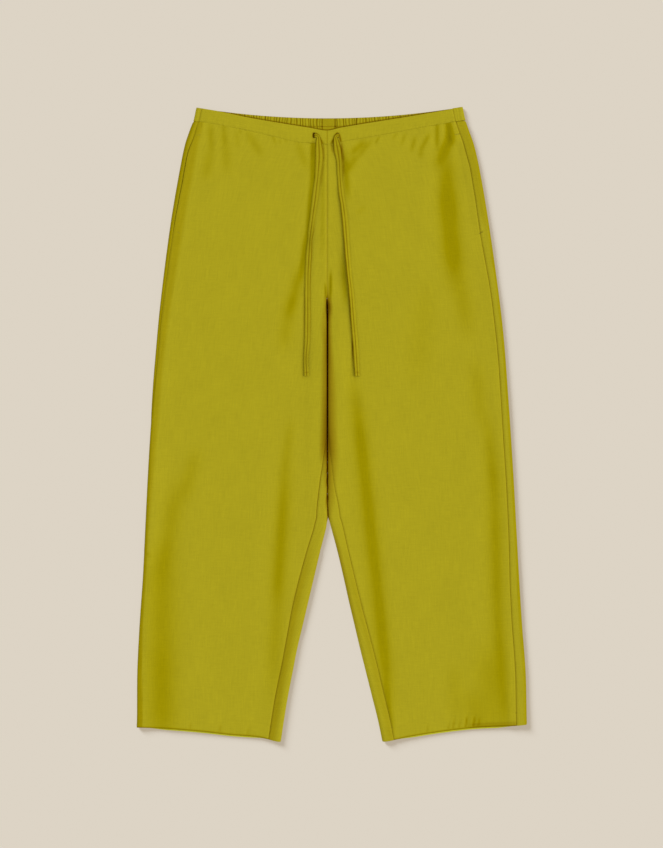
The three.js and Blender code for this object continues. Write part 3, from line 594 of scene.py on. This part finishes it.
def rowAcross(leg, alongs, middle):
    # places across a row, and the heights and quarters of its two edges
    outer = edgePoint(leg.outerX[:, None], -leg.sign, alongs[0], leg.outerTop[:, None], lay["roll"])
    roll = leg.innerRoll[:, None]
    inner = edgePoint(leg.innerX[:, None], leg.sign, alongs[1], leg.innerTop[:, None], roll)
    first, last = outer[0][:, -1:], inner[0][:, -1:]
    between = first + (last - first) * np.arange(1, middle) / middle
    x = np.concatenate([outer[0], between, inner[0][:, ::-1]], 1)
    return x, (outer[1], inner[1]), (outer[2], inner[2])


def bothFaces(grid, groove, facing, lowest):
    # the outer face with its grooves sunk in, and the inner one below it
    normals = gridNormals(grid) * facing
    sinking = normals.copy()
    # the legs stay together above the fork
    sinking[:, -stops:, 0] *= ease(*panel["fork"], rows)[:, None]
    outer = grid - sinking * groove[..., None]
    outer[..., 2] = np.maximum(outer[..., 2], lowest)
    thickness = np.where(rows <= lay["hemFold"], panel["hemThickness"], panel["thickness"])
    return outer, outer - normals * thickness[:, None, None]


def lengthAcross(x):
    return np.concatenate([np.zeros((len(x), 1)), np.abs(np.diff(x, axis=1)).cumsum(axis=1)], 1)


def seamGroove(distance):
    return panel["seamDepth"] * bell(distance / panel["seamWidth"])


def roundedEnds(layer):
    # how far a panel's face is taken back at the hem and at the waist seam
    hem = panel["hemRound"][layer] * (1 - np.minimum(rows, 3) / 3)[:, None] ** 2.4
    return hem + panel["waistRound"][layer] * bell((waistRow - rows) / 1.5)[:, None]


def partingShade(side, x, y, distance):
    first = 3 if side == "left" else 5
    deep, reach, flank, far = (onCurve(parting, column, y) for column in (1, 2, first, first + 1))
    slit = deep * ease(reach, 0.25 * reach, distance)
    return np.maximum(slit, flank * (1 - np.clip(distance / far, 0, 1))) * (np.abs(x) < 40)


def stripAt(side, fromOuter, y):
    reach = onCurve(edgeStrip, sides[side][1], y)
    return ease(reach + 0.9, reach - 0.9, fromOuter)


def flankAt(side, fromOuter, y):
    reach = onCurve(shadedFlank, sides[side][1], y)
    rise = ease(215, 330, y) if side == "left" else 0.6 * ease(730, 800, y)
    return ease(reach + 3, reach - 5, fromOuter) * rise


def edgeShadeTint(side, fromOuter, y):
    strip = panel["stripShadeTint"] * stripAt(side, fromOuter, y)
    return np.maximum(strip, panel["flankShadeTint"] * flankAt(side, fromOuter, y))


def edgeShade(side, fromOuter, fromInner, y):
    shade = panel["edgeTone"][side] * stripAt(side, fromOuter, y)
    shade = np.maximum(shade, panel["flankShade"] * flankAt(side, fromOuter, y))
    inner = 0.15 * ease(8, 1, fromInner) if side == "right" else 0.05 * ease(3, 0, fromInner)
    return shade + inner * ease(340, 290, y) * ease(90, 240, y)


def seamShade(leg, fromSeam, fromInseam, innerTone):
    # the side seam's line is fainter along the pocket mouth
    place, reach = (790, 38) if leg.side == "left" else (825, 50)
    outerTone = panel["sideTone"][leg.side] * (1 - 0.5 * bell((leg.outerY - place) / reach))
    return outerTone[:, None] * bell(fromSeam / 0.7), innerTone * bell(fromInseam / 0.75)


def hemShade(x, aboveHem):
    # painted shade along the turned edge, darker where it is rolled over at the right, and in the puckers'
    # troughs
    caught = ease(208, 225, x) * ease(300, 285, x)
    band = ease(8, 6, aboveHem) * (1 + 0.6 * bell((aboveHem - 6.5) / 0.8))
    turned = panel["hemEdgeShade"] * bell((aboveHem - 0.5) / 1.1) + panel["rolledShade"] * caught * band
    return turned + panel["puckerShade"] * puckerShade(x, aboveHem)


def puckerShade(x, aboveHem):
    # painted shade in the troughs of the hem's puckers
    return -puckers(x, aboveHem, 1.5, 8, -3)


def tieShadow(x, y):
    # painted shadows of the ties on the front and its waistband
    shade = 0 * x
    for line, dark in tieShadowLines:
        across, ends = stroke(x, y, line)
        shade = np.maximum(shade, dark * bell(across) * ends)
    return shade


def frontPanel(side):
    leg = legForm(side, 1)
    reach = edgeStops[-1]
    share = (reach - edgeStops) / (reach - edgeStops[0])
    alongs = [reach - share * (reach - seam) for seam in (leg.seam, leg.inseam)]
    fromSeam, fromInseam = alongs[0] - leg.seam, alongs[1] - leg.inseam
    x, heights, quarters = rowAcross(leg, alongs, panel["frontMiddle"])
    y = rowHeight(rows[:, None], x, frontWaistAt)
    z = frontHeight(x, y)
    for end, along, height, quarter in zip(bothEnds(z), alongs, heights, quarters):
        end[:] = np.where(along < quarter, height, end)
    # the pocket mouth stands a little open
    opening = ease(-12, 25, leg.outerY - panel["pocketBottom"])
    opening = (opening * ease(-12, 25, panel["pocketTop"] - leg.outerY))[:, None]
    z[:, :stops] += panel["pocketLift"] * opening * bell(fromSeam / panel["pocketReach"])
    groove = roundedEnds("front") + 0 * x
    outerGroove, innerGroove = bothEnds(groove)
    outerGroove += seamGroove(fromSeam) * (1 - 0.6 * opening)
    innerGroove += seamGroove(fromInseam)
    # the cloth ripples a little beside its seams
    outerWave = panel["sideWave"] * wander(leg.outerY, 13, 0.5 + leg.sign)[:, None]
    innerWave = panel["inseamWave"] * wander(leg.innerY, 12, 1.5 + leg.sign)[:, None]
    outerGroove -= outerWave * bell((fromSeam - 2.5) / 3)
    innerGroove -= innerWave * bell((fromInseam - 2.5) / 3)
    outer, inner = bothFaces(np.stack([x, y, z], 2), groove, -leg.sign, 0.02)
    outerX, innerX = leg.outerX[:, None], leg.innerX[:, None]
    seenX, seenY = outer[..., 0], outer[..., 1]
    aboveHem = seenY - hemAt(seenX)
    # painted shade tint in the troughs, along the outer edge, at the hem and in its puckers
    shadeTint = np.maximum(creaseTone(seenX, seenY), edgeShadeTint(side, np.abs(seenX - outerX), seenY))
    shadeTint = shadeTint + bell(aboveHem / 2) + puckerShade(seenX, aboveHem)
    # painted shade: seam lines, partly their own dark joins, edges, hem, troughs, the ties' shadows and the
    # parting
    shade = np.zeros_like(x)
    innerTone = np.where(rows < crotch, panel["inseamTone"][side], panel["centreTone"])[:, None]
    for end, tone in zip(bothEnds(shade), seamShade(leg, fromSeam, fromInseam, innerTone)):
        end[:] = tone
    shade = shade + edgeShade(side, np.abs(x - outerX), np.abs(x - innerX), y)
    shade = shade + hemShade(x, y - hemAt(x)) + panel["troughShade"] * np.clip(creaseTone(x, y), 0, 1) ** 2
    shade = np.maximum(shade, tieShadow(x, y))
    shade = np.maximum(shade, partingShade(side, x, y, np.abs(x - innerX)))
    pattern = np.stack([leg.sign * lengthAcross(x), y], 2)
    return makeWall(f"front_{side}", outer, inner, pattern, (shade, 0), (shadeTint, 0), side == "right")


def backPanel(side):
    leg = legForm(side, -1)
    alongs = [seam - backStops * (seam + 16) / backStops[-1] for seam in (leg.seam, leg.inseam)]
    every = np.arange(len(rows))
    for along in alongs:
        # one stop of each row lies on the very edge
        nearest = np.abs(along).argmin(axis=1)
        along[every, nearest] = np.where(nearest > 0, 0, along[every, nearest])
    fromSeam, fromInseam = leg.seam - alongs[0], leg.inseam - alongs[1]
    x, heights, quarters = rowAcross(leg, alongs, panel["backMiddle"])
    above, under, arc = np.zeros(x.shape, bool), np.ones(x.shape, bool), np.zeros(x.shape)
    ends = zip(bothEnds(above), bothEnds(under), bothEnds(arc), alongs, heights, quarters)
    for aboveEnd, underEnd, arcEnd, along, height, quarter in ends:
        aboveEnd[:], underEnd[:], arcEnd[:] = along > quarter, along < -quarter, height
    outerX, innerX = leg.outerX[:, None], leg.innerX[:, None]
    fromOuter, fromInner = np.abs(x - outerX), np.abs(x - innerX)
    inside = np.minimum(fromOuter, fromInner)
    peek = panel["peek"] * ease(panel["peekClear"], panel["peekFull"], inside) * under
    yFront = rowHeight(rows[:, None], x, frontWaistAt)
    y = np.where(under, rowHeight(rows[:, None], x, backWaistAt, peek), yFront)
    z = np.where(under, backHeight(x, y) * ease(4, 16, inside), arc)
    z = np.where(above, frontHeight(x, yFront), z)
    groove = roundedEnds("back") * ~under
    for end, distance in zip(bothEnds(groove), (fromSeam, fromInseam)):
        end += seamGroove(distance)
    outer, inner = bothFaces(np.stack([x, y, z], 2), groove, leg.sign, 0.0)
    # the strip between the inseam and the inner edge lies in shade
    shade, strip = np.zeros_like(x), np.zeros_like(x)
    bothEnds(strip)[1][:] = bell((fromInseam - 4) / 6) * (fromInseam > 0) * ease(340, 210, rows)[:, None]
    # painted shade: seam lines, partly their own dark joins, the edges, the inseam strip and the parting
    for end, tone in zip(bothEnds(shade), seamShade(leg, fromSeam, fromInseam, panel["inseamTone"][side])):
        end[:] = tone
    shade = shade + edgeShade(side, fromOuter, fromInner, y) * ~under + panel["stripShade"][side] * strip
    shade = np.maximum(shade, partingShade(side, x, y, fromInner) * ~under)
    # painted shade tint along the edges and on the inseam strip
    shadeTint = np.maximum(edgeShadeTint(side, fromOuter, y), 4 * panel["stripShade"][side] * strip) * ~under
    # painted light on the back's hem where it shows below the front's
    peekPaintedLight = panel["peekLight"] * ease(6, 2, rows)[:, None]
    pattern = np.stack([40 - leg.sign * lengthAcross(x), y], 2)
    return makeWall(f"back_{side}", outer, inner, pattern, (shade, peekPaintedLight), (shadeTint, 0), side == "left")


print("waistbands")
bandForm = {
    "height": 21, "top": 5.25, "crown": 0.5, "under": 3.0, "roll": 3.6, "slotDepth": 1.7, "ring": 1.3,
    "ripple": 0.24, "slotShade": 0.62, "ringTone": 0.15,
}
# centre, width and length of each buttonhole
buttonholes = {"left": (-19.5, 911.3, 4.2, 7.6), "right": (17.2, 911.2, 2.4, 5.4)}
gather = {
    "pitch": 4.4, "rise": 1.1, "under": 0.35, "patch": (-7.5, 12), "stitchY": 925, "columns": 660,
    "lineTone": 0.36, "edgeTone": 0.66, "troughShade": 0.72, "contactShadow": 0.5,
}


def bandEdges(share):
    # edge places, widths of the strips on the front and the length round, at a share of the height
    height = backDip["sides"] + share * bandForm["height"]
    strips = [float(onCurve(sideSeam, column, backDip["sides"])) for column in (1, 2)]
    edges = [float(onCurve(outerEdge, column, height)) for column in (1, 2)]
    quarter = math.pi / 4 * (bandForm["roll"] + bandForm["top"] / 2)
    total = sum(strips) + 2 * quarter + edges[1] - edges[0] - 2 * bandForm["roll"]
    return edges, strips, quarter, total


def bandSeam(side, share):
    # how far from the centre the side seam crosses the band, at a share of the height
    sign, column = sides[side]
    edges, strips, quarter, _ = bandEdges(share)
    reach = bandForm["roll"] + strips[column - 1] - quarter
    return abs(edges[column - 1] - sign * reach) - panel["seamGap"]


def roundedTop(below, size, least):
    # how full a band is at a distance below its top
    return np.sqrt(np.clip(1 - np.clip(1 - below / size, 0, 1) ** 2, least, 1))


def slotDistance(side, x, y):
    acrossAt, upAt, width, length = buttonholes[side]
    beyond = np.maximum(np.abs(y - upAt) - (length - width) / 2, 0)
    return np.hypot(x - acrossAt, beyond) - width / 2


def bandRipple(x, y, below):
    # how the band lies, and the ripples that cross its lower half from the gathered front
    broad = 0.3 * wander(x + 0.4 * y, 37, 0.9) * wander(x, 141, 2.9)
    return broad + bandForm["ripple"] * wander(x - 0.3 * y, 9, 2.0) * ease(13, 1, below)


def frontBand(side):
    sign = sides[side][0]
    shares = [np.linspace(0, 1, 33), np.linspace(0.3, 0.8, 30), [0.012, 0.985, 0.994, 0.04]]
    shares = np.unique(np.concatenate(shares))[:, None]
    centre = abs(buttonholes[side][0])
    places = [[0.004, 0.4, 0.9, 1.6, 2.6, 4], np.arange(5.5, 212, 1.5)]
    places = np.concatenate(places + [np.arange(centre - 5, centre + 5, 0.32)])
    places = np.unique(np.round(places, 3))
    seams = np.array([bandSeam(side, share) for share in shares[:, 0]])[:, None]
    x = sign * places * seams / places[-1]
    foot = frontWaistAt(x) + 0.1
    y = foot + (onCurve(frontTop, 1, x) - foot) * shares
    below, above = bandForm["height"] * shares, bandForm["height"] * (1 - shares)
    middle = (bandForm["top"] + bandForm["under"]) / 2
    full = bandForm["top"] + bandForm["crown"] * np.sin(math.pi * shares) + bandRipple(x, y, below)
    roundTop = roundedTop(above, 1.3, 0.003)
    roundFoot = 1 - 0.35 * bell(below / 1.1)
    roundEnd = 1 - 0.5 * bell((places - places[-1]) / 1.2) - 0.25 * bell(places / 0.7)
    z = middle + (full - middle) * roundTop * roundFoot * roundEnd
    distance = slotDistance(side, x, y)
    z = z - bandForm["slotDepth"] * ease(0.3, -0.3, distance)
    z = z + 0.22 * bell((distance - bandForm["ring"] / 2) / 0.7) * ease(-0.3, 0.2, distance)
    low = middle - (middle - bandForm["under"]) * roundTop + 0 * x
    # painted shade: the centre seam's line, the buttonhole's slot and the ties' shadows, with a browner
    # tint;
    # the ring of stitches is darker too
    shade = 1.5 * panel["centreTone"] * bell(places / 0.7) + 0 * x
    shade = np.maximum(shade, bandForm["slotShade"] * ease(0.6, -0.2, distance))
    shade = np.maximum(shade, bandForm["ringTone"] * bell((distance - bandForm["ring"]) / 0.3))
    shade = np.maximum(shade, tieShadow(x, y))
    shadeTint = np.clip(2.5 * shade, 0, 1)
    outer, inner = np.stack([x, y, z], 2), np.stack([x, y, low], 2)
    pattern = np.stack([y - frontWaistAt(x) + 90, x], 2)
    node = f"front_waistband_{side}"
    return makeWall(node, outer, inner, pattern, (shade, 0), (shadeTint, 0), side == "left")


def gatherRidge(place, y):
    # the gathers' crests and troughs by the place along the band, from 1 down to 0
    drift = 0.5 * wander(place, 37, 1.1) + 0.16 * np.sin(y / 3.1 + place / 9) + 0.6 * wander(place, 13, 4.0)
    phase = 2 * math.pi * place / gather["pitch"] + 3.0 * drift
    uneven = 0.5 + 0.5 * wander(place + 0.15 * y, 17, 0.2)
    return 1 - (0.5 - 0.5 * np.cos(phase)) ** (0.8 + 1.6 * uneven) * (0.45 + 0.55 * uneven)


def backBand():
    shares = np.unique(np.concatenate([np.linspace(0, 1, 30), [0.01, 0.985, 0.995]]))
    t = np.linspace(0, 1, gather["columns"])
    x, surface, normalX, normalZ = (np.zeros((len(shares), len(t))) for _ in range(4))
    for i, share in enumerate(shares):
        edges, strips, quarter, total = bandEdges(share)
        for sign, column in sides.values():
            here = t < 0.5 if sign < 0 else t >= 0.5
            along = (strips[0] - t * total if sign < 0 else strips[1] - (1 - t) * total)[here]
            edge = edges[column - 1]
            reached, height, _ = edgePoint(edge, -sign, along, bandForm["top"], bandForm["roll"])
            turn = np.clip(along / quarter, -1, 1) * math.pi / 2
            x[i, here], surface[i, here] = reached, height
            normalX[i, here], normalZ[i, here] = sign * np.cos(turn), np.sin(turn)
    shares = shares[:, None]
    y = backWaistAt(x) + 0.12 + shares * (bandForm["height"] - 0.12)
    total = bandEdges(0)[3]
    place = t[None] * total
    under = normalZ < -0.5
    left, right = gather["patch"]
    plain = ease(left - 1.5, left, x) * ease(right + 1.5, right, x) * under
    ridge = gatherRidge(place, y) * (1 - plain) + 0.62 * plain
    ridge = 0.6 + (ridge - 0.6) * ease(0, 4, place) * ease(0, 4, total - place)
    line = bell((y - gather["stitchY"]) / 0.8) * under
    edgeLines = (bell((x - left) / 0.7) + bell((x - right) / 0.7)) * under
    crest = 2.0 + gather["rise"] * ridge - 0.45 * line - 0.5 * edgeLines
    rise = np.where(under, crest, 1.7 + 0.2 * ridge)
    roundTop = roundedTop(bandForm["height"] * (1 - shares), 1.2, 0.01)
    sunk = gather["under"] * (1 - ridge)
    rise = sunk + (rise - sunk) * roundTop
    sunk = np.where(under, sunk, 1.6 * sunk)
    lift = np.where(under, 0.9 * (1 - roundTop), 0)
    outer = np.stack([x - normalX * (sunk + 0.7 * (1 - roundTop)), y, surface - normalZ * (sunk + lift)], 2)
    inner = np.stack([x - normalX * rise, y, surface - normalZ * (rise + lift)], 2)
    # painted shade: the stitch lines, darkened as stitching and shade, the gathers' troughs and the shadow
    # of
    # the front band's top edge
    stitched = gather["lineTone"] * line + gather["edgeTone"] * edgeLines
    contact = gather["contactShadow"] * bell((y - onCurve(frontTop, 1, x) - 0.9) / 1.1)
    shadeIn = np.maximum(np.maximum(stitched, gather["troughShade"] * (1 - ridge) ** 2.1), contact) * under
    # painted shade along the band's ends and lower edge, on its outer face
    rim = bell(place / 0.7) + bell((total - place) / 0.7)
    shadeOut = 0.2 * np.maximum(bell(shares * bandForm["height"] / 0.7), rim)
    # painted shade tint in the gathers' troughs
    shadeTintIn = 0.25 + 0.9 * (1 - ridge) ** 2
    pattern = np.stack([y + 400, place + 0 * x], 2)
    return makeWall("back_waistband", outer, inner, pattern, (shadeOut, shadeIn), (0, shadeTintIn), True)


print("ties")
# place across and up in millimetres, lift off what lies below, turn in degrees and width
tieRoutes = {
    "left": np.array([
        (-18.75, 911, -2.7, 0, 5.6), (-18.7, 911, -1.7, 0, 5.6), (-18.35, 911, -0.5, 0, 5.6),
        (-17.2, 911, 0, 0, 5.6), (-14.9, 910.44, 0.1, 0, 5.6), (-13.3, 908.9, 0.2, 0, 5.6),
        (-12.7, 906.6, 0.2, 0, 6), (-12.4, 899.5, 0.2, 0, 9.4), (-11.6, 880, 0, 0, 11.6),
        (-13.9, 850, 0, 8, 8.6), (-17.3, 819, 0, 5, 9.6), (-21, 792, 0, 22, 8.2),
        (-23.3, 774, 0, 36, 8.8), (-25.4, 755, 0, 60, 8.6), (-26.8, 735, 0, 22, 9),
        (-28.3, 709, 0, 6, 8.6), (-28.9, 682, 0, 0, 8.2), (-28.9, 639, 0, 6, 8.6),
        (-29.6, 603, 0, 12, 8.4), (-31.4, 576, 0, 44, 7.4), (-30.6, 550.5, 0, 8, 7.6)]),
    "right": np.array([
        (18.15, 911, -2.7, 0, 5), (18.1, 911, -1.7, 0, 5), (17.8, 911, -0.5, 0, 5), (16.8, 911, 0, 0, 5),
        (14.9, 910.49, 0.1, 0, 5), (13.5, 909.1, 0.2, 0, 5), (13, 907, 0.2, 0, 5.6),
        (14.1, 899.5, 0.2, 4, 9.8), (16.2, 888, 0, 10, 11.2), (18.4, 873, 0, 26, 9.2),
        (19, 855, 0, 16, 8), (21.4, 826.5, 0, -12, 8.2), (25, 802.5, 0, -18, 8.8),
        (27.7, 778.5, 0, -14, 9.4), (29.4, 754.5, 0, -24, 9), (31.4, 727, 0, -50, 8.8),
        (33.4, 703.5, 0, -60, 8.6), (36.6, 675, 0, -38, 8.4), (40, 631.5, 0, -20, 8.4),
        (43.4, 590, 0, -18, 8.4), (45.6, 550.5, 0, -30, 8)]),
}
tieForm = {
    "thick": 1.5, "clear": 0.5, "rings": 290, "sides": 28, "groove": 0.75, "rolled": 0.5, "tip": 5,
    "grooveShade": 0.42, "edgeTone": 0.1, "tipShade": 0.3, "holeShade": 0.5, "flankShade": 0.75,
}
# how far the left and the right edge of each tie are in shade, by height counted downwards
tieFlank = {
    "left": np.array([
        (-912, 0.3, 0.75), (-900, 0.45, 0.75), (-885, 0.4, 0.4), (-860, 0.3, 0.22), (-830, 0.2, 0.28),
        (-790, 0.15, 0.2), (-760, 0.2, 0.5), (-700, 0.2, 0.55), (-660, 0.2, 0.4), (-600, 0.2, 0.25),
        (-550, 0.3, 0.1)]),
    "right": np.array([
        (-912, 0.95, 0.7), (-900, 0.75, 0.75), (-885, 0.45, 0.85), (-870, 0.3, 0.5), (-850, 0.25, 0.3),
        (-820, 0.55, 0.2), (-760, 0.7, 0.15), (-700, 0.75, 0.1), (-600, 0.6, 0.1), (-550, 0.5, 0.1)]),
}


def alongCurve(stations, shares):
    # centripetal curve through the stations, counted evenly from station to station
    table = np.vstack([2 * stations[0] - stations[1], stations, 2 * stations[-1] - stations[-2]])
    found = []
    for share in np.clip(shares, 0, 1):
        at = (len(stations) - 1) * share
        i = min(int(at), len(stations) - 2)
        w = at - i
        p0, p1, p2, p3 = table[i:i + 4]
        gaps = [math.sqrt(math.dist(a, b)) for a, b in ((p0, p1), (p1, p2), (p2, p3))]
        d1 = gaps[1] if gaps[1] > 1e-4 else 1.0
        d0, d2 = (gap if gap > 1e-4 else d1 for gap in (gaps[0], gaps[2]))
        leave = ((p1 - p0) / d0 - (p2 - p0) / (d0 + d1) + (p2 - p1) / d1) * d1
        arrive = ((p2 - p1) / d1 - (p3 - p1) / (d1 + d2) + (p3 - p2) / d2) * d1
        found.append(p1 + leave * w + (3 * p2 - 3 * p1 - 2 * leave - arrive) * w ** 2
                     + (2 * p1 - 2 * p2 + leave + arrive) * w ** 3)
    return np.array(found)


def groundAt(x, y):
    face = frontHeight(x, y)
    return np.where(y > frontWaistAt(x) - 4, np.maximum(bandForm["top"] + bandForm["crown"], face), face)


def tieLine(route):
    # the middle of a tie laid on the front, with its half width and its two directions across
    shares = np.unique(np.concatenate([np.linspace(0, 1, tieForm["rings"]), np.linspace(0, 0.42, 90)]))
    flatRoute = np.column_stack([route[:, :2], np.zeros(len(route))])
    place = alongCurve(flatRoute, shares)
    ahead = alongCurve(flatRoute, shares + 0.004) - alongCurve(flatRoute, shares - 0.004)
    ahead /= np.linalg.norm(ahead, axis=1, keepdims=True)
    lift, roll, width = alongCurve(route[:, 2:], shares).T
    wide, angle, thick = width / 2, np.radians(roll * tieForm["rolled"]), tieForm["thick"] / 2
    level = np.column_stack([-ahead[:, 1], ahead[:, 0], 0 * lift])
    spots = [place + level * ((k / 2) * wide * np.cos(angle))[:, None] for k in range(-2, 3)]
    ground = np.max([groundAt(spot[:, 0], spot[:, 1]) for spot in spots], axis=0)
    for _ in range(6):
        ground[1:-1] = np.maximum(ground[1:-1], 0.25 * (ground[:-2] + 2 * ground[1:-1] + ground[2:]))
    place[:, 2] = ground + tieForm["clear"] + lift + thick * np.cos(angle) + wide * np.abs(np.sin(angle))
    going = np.gradient(place, axis=0)
    upward = np.cross(going / np.linalg.norm(going, axis=1, keepdims=True), level)
    upward /= np.linalg.norm(upward, axis=1, keepdims=True)
    cosine, sine = np.cos(angle)[:, None], np.sin(angle)[:, None]
    return place, wide[:, None], level * cosine + upward * sine, upward * cosine - level * sine


def tie(side):
    place, wide, across, normal = tieLine(tieRoutes[side])
    round_ = np.linspace(0, 2 * math.pi, tieForm["sides"], endpoint=False)
    spread = np.sign(np.cos(round_)) * np.abs(np.cos(round_)) ** 0.8
    fromEdge = np.abs(spread) - 0.86
    swell = 1 - tieForm["groove"] * bell(spread / 0.2) - 0.25 * bell(fromEdge / 0.1)
    body = np.sign(np.sin(round_)) * np.abs(np.sin(round_)) ** 0.65 * swell
    covered = np.concatenate([[0], np.cumsum(np.linalg.norm(np.diff(place, axis=0), axis=1))])[:, None]
    left = covered[-1] - covered
    tip = 1 + 0.5 * ease(9, 5, left) * ease(-1, 1.5, left) - 0.3 * bell((left - tieForm["tip"]) / 0.8)
    broad = spread * wide * (1 + 0.05 * wander(covered, 31, 2.0))
    thick = body * (tieForm["thick"] / 2) * tip
    rings = place[:, None] + across[:, None] * broad[..., None] + normal[:, None] * thick[..., None]
    index = np.arange(rings.shape[0] * rings.shape[1]).reshape(rings.shape[:2])
    following = np.roll(index, -1, axis=1)
    faces = np.stack([index[:-1], following[:-1], following[1:], index[1:]], 2).reshape(-1, 4).tolist()
    faces += [index[0][::-1].tolist(), index[-1].tolist()]
    face = 40 * np.sign(np.sin(round_))
    pattern = np.stack([spread * wide + face, covered + 0 * broad], 2).reshape(-1, 2)
    middle = 0.1 * wander(covered, 60, 1.0)
    leftEdge, rightEdge = (onCurve(tieFlank[side], column, -place[:, 1])[:, None] for column in (1, 2))
    # painted shade: the middle groove, the edges, the fold at the tip, the end in the buttonhole and the
    # flanks in shade
    tones = [
        tieForm["grooveShade"] * bell((spread - middle) / 0.15), tieForm["edgeTone"] * bell(fromEdge / 0.07),
        tieForm["tipShade"] * bell((left - tieForm["tip"]) / 0.6), tieForm["holeShade"] * ease(5, 0, covered),
        tieForm["flankShade"] * leftEdge * ease(-0.55, -1, spread),
        tieForm["flankShade"] * rightEdge * ease(0.55, 1, spread)]
    shade = np.max([tone + 0 * broad for tone in tones], axis=0).reshape(-1)
    # painted shade tint on the flanks in shade
    shadeTint = 0.15 + 0.5 * (leftEdge * ease(0.8, -1.2, spread) + rightEdge * ease(-0.8, 1.2, spread))
    points = rings.reshape(-1, 3)
    piece = makePiece(f"tie_{side}", points, faces, pattern, shade, shadeTint.reshape(-1), "tie")
    return piece, ((place - frameOrigin) * mm).tolist(), float(covered[-1, 0]) * mm


thread = {
    "length": 2.9, "thickness": 0.34, "tackThickness": 0.5, "holeThickness": 0.4, "pitch": 3.7,
    "hemRow": 19.5, "tack": 1.7, "tackPitch": 0.75,
}
# ends of the bar tacks at the pockets
tacks = [
    (-197, 911.4, -189.4, 912.4), (-226.5, 768, -221, 764.6), (191.6, 912, 199, 913.6),
    (227.6, 764, 234, 767)]


def onFront(x, y, lift):
    return np.array([x, y, float(groundAt(np.array(x), np.array(y))) + lift])


def stitches(name, found, thickness):
    # small rounded stitches from x, y to x, y on the front, as one piece
    rings = np.array([(0, 0.35), (0.2, 0.9), (0.5, 1), (0.8, 0.9), (1, 0.35)])
    spins = np.arange(6) * math.pi / 3
    points, faces = [], []
    for x0, y0, x1, y1, lift in found:
        start = onFront(x0, y0, lift)
        reach = onFront(x1, y1, lift) - start
        aside = np.cross(reach, (0, 0, 1)) / math.hypot(reach[0], reach[1])
        first = len(points)
        for at, size in rings:
            for spin in spins:
                round_ = aside * math.cos(spin) + np.array([0, 0, math.sin(spin)])
                points.append(start + reach * at + round_ * size * thickness / 2)
        index = first + np.arange(len(rings) * len(spins)).reshape(len(rings), len(spins))
        after = np.roll(index, -1, axis=1)
        faces += np.stack([index[:-1], after[:-1], after[1:], index[1:]], 2).reshape(-1, 4).tolist()
        faces += [index[0][::-1].tolist(), index[-1].tolist()]
    piece, mesh = meshPiece(name, np.array(points), faces)
    mesh.shade_smooth()
    mesh.materials.append(sewing)
    clothSet.objects.link(piece)
    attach(piece, "root")


def hemRows():
    found = []
    for sign, column in sides.values():
        inner, outer = float(onCurve(innerEdge, column, 20)), float(onCurve(outerEdge, column, 45))
        for x in np.arange(inner + sign * 9, outer - sign * 9, sign * thread["pitch"]):
            ends = np.array([x, x + sign * thread["length"]])
            y = hemAt(ends) + thread["hemRow"]
            found.append((ends[0], y[0], ends[1], y[1], -0.2))
    return found


def tackRows():
    found = []
    for x0, y0, x1, y1 in tacks:
        length, half = math.hypot(x1 - x0, y1 - y0), thread["tack"] / 2
        for share in np.arange(0.3, length, thread["tackPitch"]) / length:
            x, y = x0 + share * (x1 - x0), y0 + share * (y1 - y0)
            found.append((x + 0.15, y - half, x - 0.15, y + half, 0.05))
    return found


def holeRows():
    found = []
    for x0, y0, width, length in buttonholes.values():
        straight = (length - width) / 2
        for turn in np.arange(0, 2 * math.pi, 0.24):
            x, y = math.cos(turn), math.sin(turn)
            shift = straight * (1 if y > 0 else -1) * min(1, abs(y) * 3)
            near, far = width / 2 + 0.15, width / 2 + bandForm["ring"]
            found.append((x0 + near * x, y0 + shift + near * y, x0 + far * x, y0 + shift + far * y, 0.05))
    return found


print("building")
fronts, backs, bands = {}, {}, {}
for side in sides:
    backs[side] = backPanel(side)
    fronts[side] = frontPanel(side)
    bands[side] = frontBand(side)
rear = backBand()
for side in sides:
    cord, path, length = tie(side)

stitches("stitches_hems", hemRows(), thread["thickness"])
stitches("stitches_pockets", tackRows(), thread["tackThickness"])
stitches("stitches_buttonholes", holeRows(), thread["holeThickness"])
